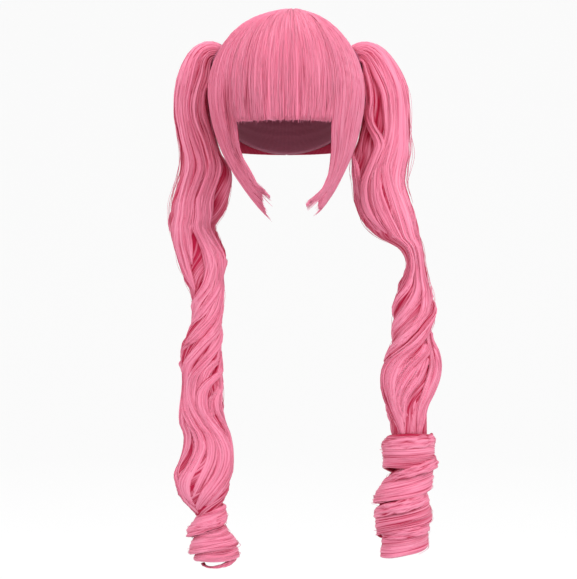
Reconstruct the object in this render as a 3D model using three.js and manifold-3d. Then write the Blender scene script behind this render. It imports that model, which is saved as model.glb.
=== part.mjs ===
// A pigtail wig: a hollow crown over a head, a blunt fringe, two side locks, back hair combed to two ties,
// and two long pigtails that twist on their way down and end in rolled ringlets.
// Millimetres, +Z up. The wearer faces -Y, so the wearer's left is +X. The origin is the inside of the crown,
// where it sits on the top of the head.

import * as THREE from "three";
import { ParametricGeometry } from "three/addons/geometries/ParametricGeometry.js";
import { mergeVertices } from "three/addons/utils/BufferGeometryUtils.js";
import Module from "manifold-3d";

const wasm = await Module();
wasm.setup();

// The hollow for the head
const headWidth = 158;
const headLength = 196;
const domeHeight = 85; // from the top of the head down to its widest level
const sideTuck = 0.265; // how fast the hair draws in below the widest level, seen from the front
const frontTuck = 0.107; // the same, seen from the side

// The wall of the crown and the hair that lies on it
const crownWall = 5;
const hairDepth = 7.9;
const fit = 0.3; // gap between pieces that touch
const combGap = 1.1; // between the crown and the hair that lies on it
const ridgeDepth = 1.3; // how far a lock stands out of the hair
const foreheadRim = 70; // how far the crown reaches down from the top of the head, at the front
const napeRim = 150; // and at the nape
const whorlRadius = 20; // the round patch at the top, where the hair starts

// Fringe and side locks
const fringeHem = 123; // how far the cut edge lies below the top of the head
const fringeLeft = 37.5; // where the fringe ends, in degrees round the head from the front
const fringeRight = 43;
const sideAngle = 100; // where the side locks end behind the ears
const lockWidth = 14; // of one lock, along the widest level
const hemShare = 0.6; // how much of its depth the hair keeps at its cut ends

// Ties and pigtails
const tieAngle = 114; // degrees round the head from the front
const tieDrop = 40; // below the top of the head
const neckRadius = 11; // of a pigtail inside its tie
const tieThickness = 7;
const seatSink = 2.6; // how deep the flat seat of a tie is pressed into the hair
const pigtailLength = 600; // from the level of the tie to the tip
const pigtailWidth = 60;
const plumbOut = 27.6; // how far the plumb line of a pigtail hangs outside its seat
const lockCount = 5; // locks in each pigtail
const lockGroove = 0.19; // share of the radius that a groove between two locks takes
const leftCurlPitch = 32; // height of one turn of a ringlet
const rightCurlPitch = 23;
const curlStep = 0.16; // share of the radius that each turn stands over the next
const curlWall = 9; // thickness of the rolled hair

// Each pigtail, from its top down. drop (below the tie) is a share of pigtailLength. out (from the plumb line
// and away from the head), sway (backwards) and the widths are shares of pigtailWidth. turn is in whole turns.
const leftPigtail = [
  { drop: -0.031, out: -0.05, sway: 0.66, wide: 0.3, deep: 0.3, turn: 0.0 },
  { drop: -0.022, out: 0.0, sway: 0.67, wide: 0.62, deep: 0.52, turn: 0.0 },
  { drop: -0.006, out: 0.06, sway: 0.68, wide: 0.78, deep: 0.68, turn: 0.0 },
  { drop: 0.02, out: 0.16, sway: 0.69, wide: 0.86, deep: 0.78, turn: 0.0 },
  { drop: 0.055, out: 0.25, sway: 0.69, wide: 0.92, deep: 0.84, turn: -0.01 },
  { drop: 0.108, out: 0.29, sway: 0.68, wide: 0.96, deep: 0.86, turn: -0.02 },
  { drop: 0.153, out: 0.25, sway: 0.64, wide: 1.05, deep: 0.86, turn: -0.03 },
  { drop: 0.188, out: 0.19, sway: 0.6, wide: 1.17, deep: 0.88, turn: -0.02 },
  { drop: 0.223, out: 0.14, sway: 0.55, wide: 1.17, deep: 0.9, turn: -0.04 },
  { drop: 0.25, out: 0.15, sway: 0.5, wide: 1.13, deep: 0.9, turn: -0.07 },
  { drop: 0.288, out: 0.23, sway: 0.46, wide: 1.22, deep: 0.88, turn: -0.11 },
  { drop: 0.325, out: 0.36, sway: 0.44, wide: 1.15, deep: 0.86, turn: -0.17 },
  { drop: 0.353, out: 0.53, sway: 0.44, wide: 0.92, deep: 0.84, turn: -0.23 },
  { drop: 0.37, out: 0.74, sway: 0.44, wide: 0.6, deep: 0.8, turn: -0.25 },
  { drop: 0.387, out: 0.84, sway: 0.45, wide: 0.46, deep: 0.76, turn: -0.28 },
  { drop: 0.41, out: 0.88, sway: 0.45, wide: 0.44, deep: 0.74, turn: -0.32 },
  { drop: 0.438, out: 0.86, sway: 0.44, wide: 0.6, deep: 0.76, turn: -0.39 },
  { drop: 0.465, out: 0.84, sway: 0.41, wide: 0.76, deep: 0.8, turn: -0.47 },
  { drop: 0.498, out: 0.83, sway: 0.38, wide: 0.86, deep: 0.82, turn: -0.58 },
  { drop: 0.548, out: 0.78, sway: 0.37, wide: 0.84, deep: 0.84, turn: -0.78 },
  { drop: 0.575, out: 0.82, sway: 0.38, wide: 1.01, deep: 0.88, turn: -0.88 },
  { drop: 0.598, out: 0.79, sway: 0.39, wide: 1.16, deep: 0.92, turn: -0.97 },
  { drop: 0.63, out: 0.75, sway: 0.39, wide: 1.19, deep: 0.94, turn: -1.06 },
  { drop: 0.66, out: 0.71, sway: 0.37, wide: 1.06, deep: 0.92, turn: -1.13 },
  { drop: 0.688, out: 0.68, sway: 0.35, wide: 0.86, deep: 0.84, turn: -1.18 },
  { drop: 0.718, out: 0.73, sway: 0.35, wide: 0.77, deep: 0.78, turn: -1.22 },
  { drop: 0.743, out: 0.76, sway: 0.36, wide: 0.79, deep: 0.78, turn: -1.26 },
];

const rightPigtail = [
  { drop: -0.031, out: -0.1, sway: 0.66, wide: 0.3, deep: 0.3, turn: 0.0 },
  { drop: -0.022, out: -0.06, sway: 0.67, wide: 0.6, deep: 0.48, turn: 0.0 },
  { drop: -0.006, out: 0.0, sway: 0.68, wide: 0.74, deep: 0.64, turn: 0.0 },
  { drop: 0.02, out: 0.08, sway: 0.69, wide: 0.8, deep: 0.74, turn: 0.0 },
  { drop: 0.055, out: 0.16, sway: 0.69, wide: 0.73, deep: 0.78, turn: -0.01 },
  { drop: 0.108, out: 0.18, sway: 0.68, wide: 0.74, deep: 0.8, turn: -0.02 },
  { drop: 0.147, out: 0.11, sway: 0.64, wide: 0.76, deep: 0.82, turn: -0.03 },
  { drop: 0.183, out: 0.01, sway: 0.58, wide: 0.83, deep: 0.84, turn: -0.02 },
  { drop: 0.225, out: -0.09, sway: 0.52, wide: 1.08, deep: 0.88, turn: -0.03 },
  { drop: 0.28, out: 0.02, sway: 0.46, wide: 1.18, deep: 0.9, turn: -0.1 },
  { drop: 0.307, out: 0.08, sway: 0.44, wide: 1.12, deep: 0.88, turn: -0.13 },
  { drop: 0.333, out: 0.17, sway: 0.43, wide: 0.97, deep: 0.86, turn: -0.18 },
  { drop: 0.36, out: 0.1, sway: 0.43, wide: 1.03, deep: 0.84, turn: -0.23 },
  { drop: 0.393, out: -0.02, sway: 0.42, wide: 1.04, deep: 0.82, turn: -0.3 },
  { drop: 0.432, out: -0.04, sway: 0.4, wide: 0.83, deep: 0.78, turn: -0.42 },
  { drop: 0.467, out: -0.11, sway: 0.37, wide: 0.72, deep: 0.72, turn: -0.52 },
  { drop: 0.508, out: -0.13, sway: 0.34, wide: 0.58, deep: 0.66, turn: -0.64 },
  { drop: 0.542, out: -0.06, sway: 0.33, wide: 0.73, deep: 0.7, turn: -0.74 },
  { drop: 0.592, out: 0.02, sway: 0.34, wide: 0.83, deep: 0.76, turn: -0.84 },
  { drop: 0.647, out: -0.03, sway: 0.37, wide: 0.8, deep: 0.78, turn: -0.9 },
  { drop: 0.712, out: -0.01, sway: 0.36, wide: 0.93, deep: 0.84, turn: -0.77 },
  { drop: 0.74, out: -0.11, sway: 0.33, wide: 0.91, deep: 0.86, turn: -0.68 },
  { drop: 0.767, out: -0.14, sway: 0.3, wide: 0.97, deep: 0.88, turn: -0.63 },
  { drop: 0.792, out: -0.12, sway: 0.28, wide: 1.06, deep: 0.92, turn: -0.65 },
  { drop: 0.825, out: -0.04, sway: 0.27, wide: 1.17, deep: 0.98, turn: -0.76 },
  { drop: 0.862, out: -0.04, sway: 0.29, wide: 1.02, deep: 0.94, turn: -0.97 },
  { drop: 0.888, out: -0.1, sway: 0.31, wide: 0.68, deep: 0.72, turn: -1.14 },
  { drop: 0.91, out: -0.19, sway: 0.32, wide: 0.63, deep: 0.66, turn: -1.3 },
];

// The rolled ends, with columns as above. along is a share of what the pigtail leaves of pigtailLength, and a
// ringlet is round, so it has no deep.
const leftRinglet = [
  { along: 0.0, out: 0.73, sway: 0.36, wide: 0.98 },
  { along: 0.07, out: 0.71, sway: 0.36, wide: 1.04 },
  { along: 0.25, out: 0.73, sway: 0.36, wide: 0.97 },
  { along: 0.36, out: 0.68, sway: 0.35, wide: 0.88 },
  { along: 0.45, out: 0.62, sway: 0.34, wide: 0.96 },
  { along: 0.6, out: 0.6, sway: 0.34, wide: 1.08 },
  { along: 0.71, out: 0.61, sway: 0.34, wide: 1.03 },
  { along: 0.83, out: 0.63, sway: 0.35, wide: 0.9 },
  { along: 1.0, out: 0.6, sway: 0.35, wide: 0.83 },
];

const rightRinglet = [
  { along: 0.0, out: -0.17, sway: 0.32, wide: 0.66 },
  { along: 0.2, out: -0.16, sway: 0.33, wide: 0.8 },
  { along: 0.45, out: -0.23, sway: 0.33, wide: 0.86 },
  { along: 0.62, out: -0.25, sway: 0.33, wide: 0.9 },
  { along: 0.8, out: -0.26, sway: 0.33, wide: 0.84 },
  { along: 1.0, out: -0.27, sway: 0.33, wide: 0.76 },
];

// How far down a ringlet ends, as a share of pigtailLength.
const leftTip = 0.98;
const rightTip = 1;

// The cut ends of the side locks, from the face edge backwards; hem is a share of fringeHem.
const leftSideHem = [
  { across: 0.0, hem: 1.6 },
  { across: 0.08, hem: 1.77 },
  { across: 0.24, hem: 1.64 },
  { across: 0.44, hem: 1.78 },
  { across: 0.62, hem: 1.58 },
  { across: 0.8, hem: 1.36 },
  { across: 1.0, hem: 1.2 },
];

const rightSideHem = [
  { across: 0.0, hem: 1.56 },
  { across: 0.08, hem: 1.7 },
  { across: 0.24, hem: 1.62 },
  { across: 0.44, hem: 1.8 },
  { across: 0.62, hem: 1.54 },
  { across: 0.8, hem: 1.36 },
  { across: 1.0, hem: 1.2 },
];

// The face edges of the side locks, from the whorl down; angle is in degrees round the head from the front.
const leftFaceEdge = [
  { down: 0.0, angle: fringeLeft },
  { down: 0.4, angle: fringeLeft },
  { down: 0.58, angle: 38.5 },
  { down: 0.7, angle: 43 },
  { down: 0.84, angle: 48 },
  { down: 0.93, angle: 45 },
  { down: 1.0, angle: 33 },
];

const rightFaceEdge = [
  { down: 0.0, angle: fringeRight },
  { down: 0.4, angle: fringeRight },
  { down: 0.58, angle: fringeRight },
  { down: 0.7, angle: 42.5 },
  { down: 0.82, angle: 41 },
  { down: 0.92, angle: 38 },
  { down: 1.0, angle: 29 },
];

// How far the ends of the side locks swing outwards, away from the neck.
const leftSwing = 12;
const rightSwing = 1;

const panelLift = crownWall + combGap; // where the hair over the crown starts
const hairTop = panelLift + hairDepth; // and where it ends
const sideDrop = 1.9 * fringeHem; // below all ends of the side locks
const degree = Math.PI / 180;
const lockPitch = lockWidth / (headWidth / 2 + hairTop) / degree; // degrees round the head per lock

const hairPink = new THREE.Color("#ee7fa4");
const crownPink = new THREE.Color("#e0708f");
const tiePink = new THREE.Color("#d95f88");

const hair = () => new THREE.MeshStandardMaterial({ color: hairPink, roughness: 0.55, metalness: 0 });
const netting = () => new THREE.MeshStandardMaterial({ color: crownPink, roughness: 0.8, metalness: 0 });
const elastic = () => new THREE.MeshStandardMaterial({ color: tiePink, roughness: 0.7, metalness: 0 });

// A value between the rows of a table, on a smooth curve through them.
function between(rows, key, at, column) {
  const last = rows.length - 1;
  const next = Math.max(1, rows.findIndex((row) => row[key] >= at));
  const upper = at >= rows[last][key] ? last : next;
  const row = (k) => rows[Math.min(last, Math.max(0, k))];
  const span = row(upper)[key] - row(upper - 1)[key];
  const t = Math.min(1, Math.max(0, (at - row(upper - 1)[key]) / span));
  const slope = (k) => (row(k + 1)[column] - row(k - 1)[column]) / (row(k + 1)[key] - row(k - 1)[key]);
  const a = row(upper - 1)[column];
  const b = row(upper)[column];
  const bend = t * t * (3 - 2 * t);
  const ease = t * (1 - t);
  return a + (b - a) * bend + span * ease * (slope(upper - 1) * (1 - t) - slope(upper) * t);
}

// A solid from a closed geometry, with its doubled points merged and its empty triangles left out.
function solidOf(geometry) {
  geometry.deleteAttribute("normal");
  geometry.deleteAttribute("uv");
  const merged = mergeVertices(geometry, 1e-3);
  const index = merged.index.array;
  const kept = [];
  for (let i = 0; i < index.length; i += 3) {
    const [a, b, c] = index.subarray(i, i + 3);
    if (a !== b && b !== c && c !== a) kept.push(a, b, c);
  }
  const vertProperties = merged.attributes.position.array;
  return new wasm.Manifold(new wasm.Mesh({ numProp: 3, vertProperties, triVerts: new Uint32Array(kept) }));
}

const closedSolid = (surface, slices, stacks) => solidOf(new ParametricGeometry(surface, slices, stacks));

function geometryOf(solid) {
  const { numProp, vertProperties, triVerts } = solid.getMesh();
  const geometry = new THREE.BufferGeometry();
  geometry.setAttribute("position", new THREE.BufferAttribute(vertProperties, numProp));
  geometry.setIndex(new THREE.BufferAttribute(triVerts, 1));
  return geometry;
}

// A point of the hair round the head. azimuth is in degrees from the front, positive to the wearer's left;
// fall is 0 at the top, 1 at the widest level and grows below it; lift is the height over the hollow.
function headPoint(azimuth, fall, lift, target = new THREE.Vector3()) {
  const below = Math.max(0, fall - 1);
  const polar = Math.min(1, fall) * 90 * degree;
  const round = Math.sin(polar);
  const side = (headWidth / 2 + lift) * round * (1 - sideTuck * below * below);
  const front = (headLength / 2 + lift) * round * (1 - frontTuck * below * below);
  const z = -domeHeight + (domeHeight + lift) * Math.cos(polar) - below * domeHeight;
  return target.set(side * Math.sin(azimuth * degree), -front * Math.cos(azimuth * degree), z);
}

// The fall at which a surface at some lift lies drop below the top of the head.
function fallAt(drop, lift) {
  const height = domeHeight - drop;
  if (height <= 0) return drop / domeHeight;
  return Math.acos(Math.min(1, height / (domeHeight + lift))) / (90 * degree);
}

// How far down the crown's rim reaches, from the forehead round to the nape.
function rimDrop(azimuth) {
  return foreheadRim + ((napeRim - foreheadRim) * (1 - Math.cos(azimuth * degree))) / 2;
}

// The crown: a hollow wall whose top patch is as thick as the hair round it. Its profile runs from the top of
// the patch out to the rim, and back inside.
function crown() {
  const patch = whorlRadius / (domeHeight * 90 * degree);
  const profile = [[0, hairTop], [patch * 0.6, hairTop], [patch * 0.94, hairTop - 0.2]];
  const patchRows = profile.length;
  const outerRows = 9;
  const innerRows = 5;
  const stacks = patchRows + outerRows + innerRows;
  const surface = (u, v, target) => {
    const row = Math.round(v * stacks);
    const azimuth = -u * 360;
    if (row < patchRows) return headPoint(azimuth, ...profile[row], target);
    const outside = row < patchRows + outerRows;
    const lift = outside ? crownWall : 0;
    const rim = fallAt(rimDrop(azimuth), lift);
    const begin = patch * 0.96;
    const share = (row - patchRows) / (outerRows - 1);
    const fall = outside ? begin + (rim - begin) * share : (rim * (stacks - row)) / innerRows;
    return headPoint(azimuth, fall, lift, target);
  };
  return closedSolid(surface, 34, stacks);
}

// A share of the way across a panel, with its first and last step short, so that the panel's edges are blunt.
function bluntShare(share, steps) {
  const short = 0.015;
  const step = Math.round(share * steps);
  if (step <= 1) return step * short;
  if (step >= steps - 1) return 1 - (steps - step) * short;
  return short + ((step - 1) / (steps - 2)) * (1 - 2 * short);
}

// A panel of hair over the crown, closed round its edges. edges(down) gives its two azimuths at a share of
// its length, hem(column) how far it reaches down, and swing how far its end stands out sideways.
function hairPanel({ edges, hem, across, along, swing = 0 }) {
  const topFall = (whorlRadius + fit) / (domeHeight * 90 * degree);
  const surface = (u, v, target) => {
    const outside = u <= 0.5;
    const column = bluntShare(outside ? u * 2 : (1 - u) * 2, across);
    const down = bluntShare(v, along);
    const [from, to] = edges(down);
    const azimuth = from + (to - from) * column;
    const closed = Math.min(down, 1 - down, column, 1 - column) < 1e-6 ? 0 : 1;
    const bevel = Math.min(down, column, 1 - column) < 0.02 ? 0.8 : 1;
    const taper = bevel * (1 - (1 - hemShare) * down * down);
    const ridge = ridgeDepth * (Math.cos((azimuth / lockPitch) * 2 * Math.PI) - 1) * Math.min(1, 3 * down);
    const middle = panelLift + hairDepth / 2;
    const half = closed * (outside ? (hairDepth / 2) * taper + ridge : (-hairDepth / 2) * taper);
    const bottom = fallAt(hem(column), middle);
    headPoint(azimuth, topFall + (bottom - topFall) * down, middle + half, target);
    target.x += swing * Math.max(0, 2 * down - 1) ** 2;
  };
  return closedSolid(surface, across * 2, along);
}

function fringe() {
  const gap = (fit / (headWidth / 2)) * 90;
  const edges = () => [fringeLeft - gap, gap - fringeRight];
  return hairPanel({ edges, hem: () => fringeHem, across: 20, along: 11 });
}

function sideLock(side, hems, faceEdge, swing) {
  const face = (down) => side * between(faceEdge, "down", down, "angle");
  const rear = side * sideAngle;
  const flipped = side > 0;
  return hairPanel({
    edges: (down) => (flipped ? [rear, face(down)] : [face(down), rear]),
    hem: (share) => fringeHem * between(hems, "across", flipped ? 1 - share : share, "hem"),
    across: 12,
    along: 16,
    swing: side * swing,
  });
}

function backHair(side) {
  const gap = (fit / (headWidth / 2)) * 90;
  const from = side * (sideAngle + gap);
  const to = side * (180 - gap);
  const edges = side > 0 ? [to, from] : [from, to];
  const panel = hairPanel({ edges: () => edges, hem: () => napeRim, across: 13, along: 11 });
  return panel.subtract(seatRoom(seatOf(side), 3 * tieThickness));
}

// Where a tie sits on the hair: its middle, and the direction that it faces.
function seatOf(side) {
  const azimuth = side * tieAngle;
  const fall = fallAt(tieDrop, hairTop);
  const middle = headPoint(azimuth, fall, hairTop);
  const facing = headPoint(azimuth, fall, hairTop + 1).sub(middle).normalize();
  return { middle: middle.addScaledVector(facing, -seatSink), facing };
}

// A geometry made along +Y from its origin, turned to stand on a seat at some height above it.
function onSeat(geometry, seat, height) {
  const turn = new THREE.Quaternion().setFromUnitVectors(new THREE.Vector3(0, 1, 0), seat.facing);
  const place = seat.middle.clone().addScaledVector(seat.facing, height);
  return geometry.applyQuaternion(turn).translate(place.x, place.y, place.z);
}

const tieReach = neckRadius + fit + tieThickness;

// The room that a tie needs, from its seat up to some height.
function seatRoom(seat, height) {
  const room = new THREE.CylinderGeometry(tieReach + 2 * fit, tieReach + 2 * fit, height, 28);
  return solidOf(onSeat(room, seat, height / 2));
}

function hairTie(side) {
  const ring = new THREE.TorusGeometry(neckRadius + fit + tieThickness / 2, tieThickness / 2, 8, 20);
  return solidOf(onSeat(ring.rotateX(Math.PI / 2), seatOf(side), fit + tieThickness / 2));
}

// All that the head and the hair on it take up, with the gap that a pigtail keeps.
function hairRoom() {
  const stacks = 24;
  const lowest = sideDrop / domeHeight;
  const surface = (u, v, target) => {
    const closed = Math.min(1, (1 - v) * stacks);
    headPoint(-u * 360, lowest * Math.min(1, v * (stacks / (stacks - 1))), hairTop + fit, target);
    target.x *= closed;
    target.y *= closed;
  };
  return closedSolid(surface, 48, stacks);
}

// Place and size of a pigtail's section at a share of its rows.
function pigtailSection(side, rows, share) {
  const seat = seatOf(side);
  const at = share * (rows.length - 1);
  const low = Math.min(rows.length - 2, Math.floor(at));
  const column = (name) => {
    const of = (k) => rows[Math.min(rows.length - 1, Math.max(0, k))][name];
    const [a, b, c, d] = [of(low - 1), of(low), of(low + 1), of(low + 2)];
    const t = at - low;
    const bend = (2 * a - 5 * b + 4 * c - d) * t * t + (3 * b - a - 3 * c + d) * t * t * t;
    return b + ((c - a) * t + bend) / 2;
  };
  return {
    x: side * (Math.abs(seat.middle.x) + plumbOut + column("out") * pigtailWidth),
    y: column("sway") * pigtailWidth,
    z: -tieDrop - column("drop") * pigtailLength,
    halfWide: (column("wide") * pigtailWidth) / 2,
    halfDeep: (column("deep") * pigtailWidth) / 2,
    turn: column("turn") * 2 * Math.PI,
  };
}

// The hanging part of a pigtail: locks that turn about its line, and a neck from its tie.
function pigtail(side, rows) {
  const seat = seatOf(side);
  const stacks = Math.round((rows.length - 1) * 1.4);
  const surface = (u, v, target) => {
    const row = Math.round(v * (stacks + 2));
    const share = Math.min(1, Math.max(0, (row - 1) / stacks));
    const section = pigtailSection(side, rows, share);
    const closed = row === 0 || row === stacks + 2 ? 0 : 1;
    const angle = -u * 2 * Math.PI;
    const groove = lockGroove * (1 - Math.abs(Math.sin((lockCount * angle) / 2)));
    const radius = closed * (1 - groove);
    const x = section.x + section.halfWide * radius * Math.cos(angle + section.turn);
    target.set(x, section.y + section.halfDeep * radius * Math.sin(angle + section.turn), section.z);
  };
  const hanging = closedSolid(surface, lockCount * 5, stacks + 2);
  const neckReach = tieThickness + 2 * fit + neckRadius;
  const neck = new THREE.CylinderGeometry(neckRadius, neckRadius, neckReach, 24);
  return hanging
    .subtract(hairRoom())
    .subtract(seatRoom(seat, tieThickness + 3 * fit))
    .add(solidOf(onSeat(neck, seat, fit + neckReach / 2)));
}

// A rolled end: each turn of hair stands over the next, and the roll is hollow from its tip.
function ringlet(side, rows, curl, pitch, tip) {
  const begin = rows[rows.length - 1].drop + fit / pigtailLength;
  const length = (tip - begin) * pigtailLength;
  const outerRings = Math.round((length / pitch) * 5);
  const innerRings = Math.ceil(outerRings / 5);
  const stacks = outerRings + innerRings + 2;
  const seat = seatOf(side);
  const surface = (u, v, target) => {
    const row = Math.round(v * stacks);
    const inside = row > outerRings + 1;
    const innerShare = (row - outerRings - 2) / innerRings;
    const along = inside ? 1 - innerShare * (1 - curlWall / length) : Math.max(0, row - 1) / outerRings;
    const column = (name) => between(curl, "along", along, name);
    const angle = -u * 2 * Math.PI;
    const turns = (along * length) / pitch + angle / (2 * Math.PI) + 8;
    const step = curlStep * (turns - Math.floor(turns) - 0.5);
    const half = (column("wide") * pigtailWidth) / 2;
    const radius = inside ? half * (1 - curlStep / 2) - curlWall : half * (1 + step);
    const closed = row === 0 || row === stacks ? 0 : 1;
    const x = side * (Math.abs(seat.middle.x) + plumbOut + column("out") * pigtailWidth);
    const y = column("sway") * pigtailWidth;
    const z = -tieDrop - begin * pigtailLength - along * length;
    target.set(x + closed * radius * Math.cos(angle), y + closed * radius * Math.sin(angle), z);
  };
  return closedSolid(surface, 18, stacks);
}

const wig = new THREE.Group();
const addPiece = (name, solid, material) => {
  const mesh = new THREE.Mesh(geometryOf(solid), material);
  mesh.name = name;
  wig.add(mesh);
};

addPiece("crown", crown(), netting());
addPiece("fringe", fringe(), hair());
addPiece("side_lock_left", sideLock(1, leftSideHem, leftFaceEdge, leftSwing), hair());
addPiece("side_lock_right", sideLock(-1, rightSideHem, rightFaceEdge, rightSwing), hair());
addPiece("back_hair_left", backHair(1), hair());
addPiece("back_hair_right", backHair(-1), hair());
addPiece("hair_tie_left", hairTie(1), elastic());
addPiece("hair_tie_right", hairTie(-1), elastic());
addPiece("pigtail_left", pigtail(1, leftPigtail), hair());
addPiece("pigtail_right", pigtail(-1, rightPigtail), hair());
addPiece("ringlet_left", ringlet(1, leftPigtail, leftRinglet, leftCurlPitch, leftTip), hair());
addPiece("ringlet_right", ringlet(-1, rightPigtail, rightRinglet, rightCurlPitch, rightTip), hair());

export default wig;
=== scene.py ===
"""A pigtail wig in pink synthetic fibre: combed hair, rolled ends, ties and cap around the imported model."""

import math

import bmesh
import bpy
import numpy as np
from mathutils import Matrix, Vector


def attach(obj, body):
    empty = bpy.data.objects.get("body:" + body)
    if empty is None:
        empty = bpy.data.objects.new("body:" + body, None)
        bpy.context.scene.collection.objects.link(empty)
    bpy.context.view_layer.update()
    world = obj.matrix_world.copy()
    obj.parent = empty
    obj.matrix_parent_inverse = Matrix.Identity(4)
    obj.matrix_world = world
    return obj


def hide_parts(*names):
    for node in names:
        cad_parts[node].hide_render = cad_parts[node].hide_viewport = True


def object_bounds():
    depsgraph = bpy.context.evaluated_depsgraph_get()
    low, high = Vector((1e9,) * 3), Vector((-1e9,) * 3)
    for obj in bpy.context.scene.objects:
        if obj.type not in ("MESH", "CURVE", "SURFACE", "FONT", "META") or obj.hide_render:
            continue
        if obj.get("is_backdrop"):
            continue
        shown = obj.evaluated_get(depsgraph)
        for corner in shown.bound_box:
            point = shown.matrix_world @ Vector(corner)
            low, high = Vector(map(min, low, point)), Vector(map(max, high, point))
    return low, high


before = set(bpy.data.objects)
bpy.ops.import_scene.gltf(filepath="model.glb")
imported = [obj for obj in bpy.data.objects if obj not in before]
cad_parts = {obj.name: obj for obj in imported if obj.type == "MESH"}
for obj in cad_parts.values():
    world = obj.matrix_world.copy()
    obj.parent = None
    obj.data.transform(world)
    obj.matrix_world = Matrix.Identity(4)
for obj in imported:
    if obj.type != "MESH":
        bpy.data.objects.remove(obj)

bl_info = {
    "name": "Pigtail wig",
    "version": (1, 0, 0),
    "blender": (4, 5, 0),
    "location": "View3D > Sidebar > Wig",
    "description": "Builds the combed hair, ringlets, ties and cap of a pigtail wig",
    "category": "Add Mesh",
}

# Shares and angles of the wig's form; the lengths are in the sizes below.
SIDE_TUCK = 0.265  # how fast the hair draws in below the widest level, seen from the front
FRONT_TUCK = 0.107  # the same, seen from the side
FRINGE_LEFT = 37.5  # degrees round the head from the front, to the wearer's left
FRINGE_RIGHT = 43.0
SIDE_ANGLE = 100.0  # where the side locks end behind the ears
TIE_ANGLE = 114.0
OUTER = 0.82  # share of a panel's columns that lie on its outer side
WHORL = 0.009  # where the panels of hair start, as a share of the way from the top to the widest level
WHORL_SHIFT = 0.007  # how far the whorl lies to the wearer's left of the top, in metres
SEAM = 0.25  # degrees that the fringe stays clear of each side lock
BACK_GAP = 0.3  # degrees that the back hair stays clear of the parting and of the side locks
SIDE_SPREAD = 60  # degrees round the head that a side lock takes up
EDGE = 0.008  # width of a panel's rounded edges, in metres
THIN_EDGE = 0.15  # share of its thickness that a panel keeps at its edges
CUT_STEP = 0.0014  # width of the steps in a cut end, in metres
LOCK_WIDTH, CLUMP_WIDTH, LINE_WIDTH = 0.014, 0.0045, 0.0013  # of what the comb leaves on a panel, in metres
UNDERSIDE_SHADE = 0.7  # painted shade of a panel's underside, where 0 is lit hair and 1 the painted shade deep between the locks
LOCK_DOME = 0.0036  # how far the middle of a pigtail's lock stands over its edges, in metres
LOCK_SUNK = 0.0032  # how far its edges lie inside the pigtail's outline
LOCK_UNDER = -0.0012  # height of its underside over its edges
BAND_SUNK = 0.003  # how far the middle of a ringlet's band lies inside the roll's outline

# The fibre's drawn lines and bands, as spacing and length in metres. Real fibres are 0.08 mm apart, too fine
# to show in the render, so the lines are drawn as coarse as they need to show.
FINE_LINES = (0.0012, 0.11)
BROAD_BANDS = (0.007, 0.2)

# The studio, in metres and watts
FLOOR_LEVEL = -0.86
PAPER_GLOW = 0.735
ROOM_LIGHT = 0.74
LAMPS_AIM = (0, 0, -0.3)
LAMPS = (  # name, place, size, power
    ("key", (1.9, -2.0, 1.1), 1.1, 42),
    ("fill", (-2.2, -2.0, 0.2), 1.8, 20),
    ("top", (-0.7, 0.3, 1.75), 0.9, 15),
)
CAMERA = (0.00235, -2.5, -0.3139)
VIEW_WIDTH = 0.6792  # what the camera sees at the wig's middle
SENSOR = 36  # width of the camera's sensor, in mm

# The ends of the side locks, from the face edge backwards: share across, and hem as a share of the fringe's.
LEFT_HEM = [
    (0.0, 1.775), (0.05, 1.775), (0.13, 1.74), (0.2, 1.7), (0.3, 1.72), (0.4, 1.77), (0.52, 1.8),
    (0.62, 1.72), (0.72, 1.58), (0.84, 1.38), (1.0, 1.2),
]
RIGHT_HEM = [
    (0.0, 1.7), (0.04, 1.69), (0.09, 1.64), (0.17, 1.65), (0.3, 1.75), (0.45, 1.82), (0.56, 1.845),
    (0.66, 1.72), (0.8, 1.42), (1.0, 1.2),
]

# The face edges of the side locks, from the whorl down: share of the length, and angle round the head.
LEFT_FACE = [
    (0.0, 37.5), (0.4, 37.5), (0.564, 37.6), (0.626, 38.9), (0.688, 41.1), (0.735, 42.5), (0.79, 44.2),
    (0.838, 45.1), (0.89, 43.2), (0.916, 41.8), (0.944, 37.1), (0.97, 26.9), (1.0, 14.5),
]
RIGHT_FACE = [
    (0.0, 43.0), (0.4, 43.0), (0.608, 43.1), (0.652, 43.7), (0.694, 45.1), (0.75, 45.7), (0.792, 45.2),
    (0.848, 41.8), (0.904, 39.4), (0.93, 38.6), (0.958, 35.0), (1.0, 24.0),
]

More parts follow.
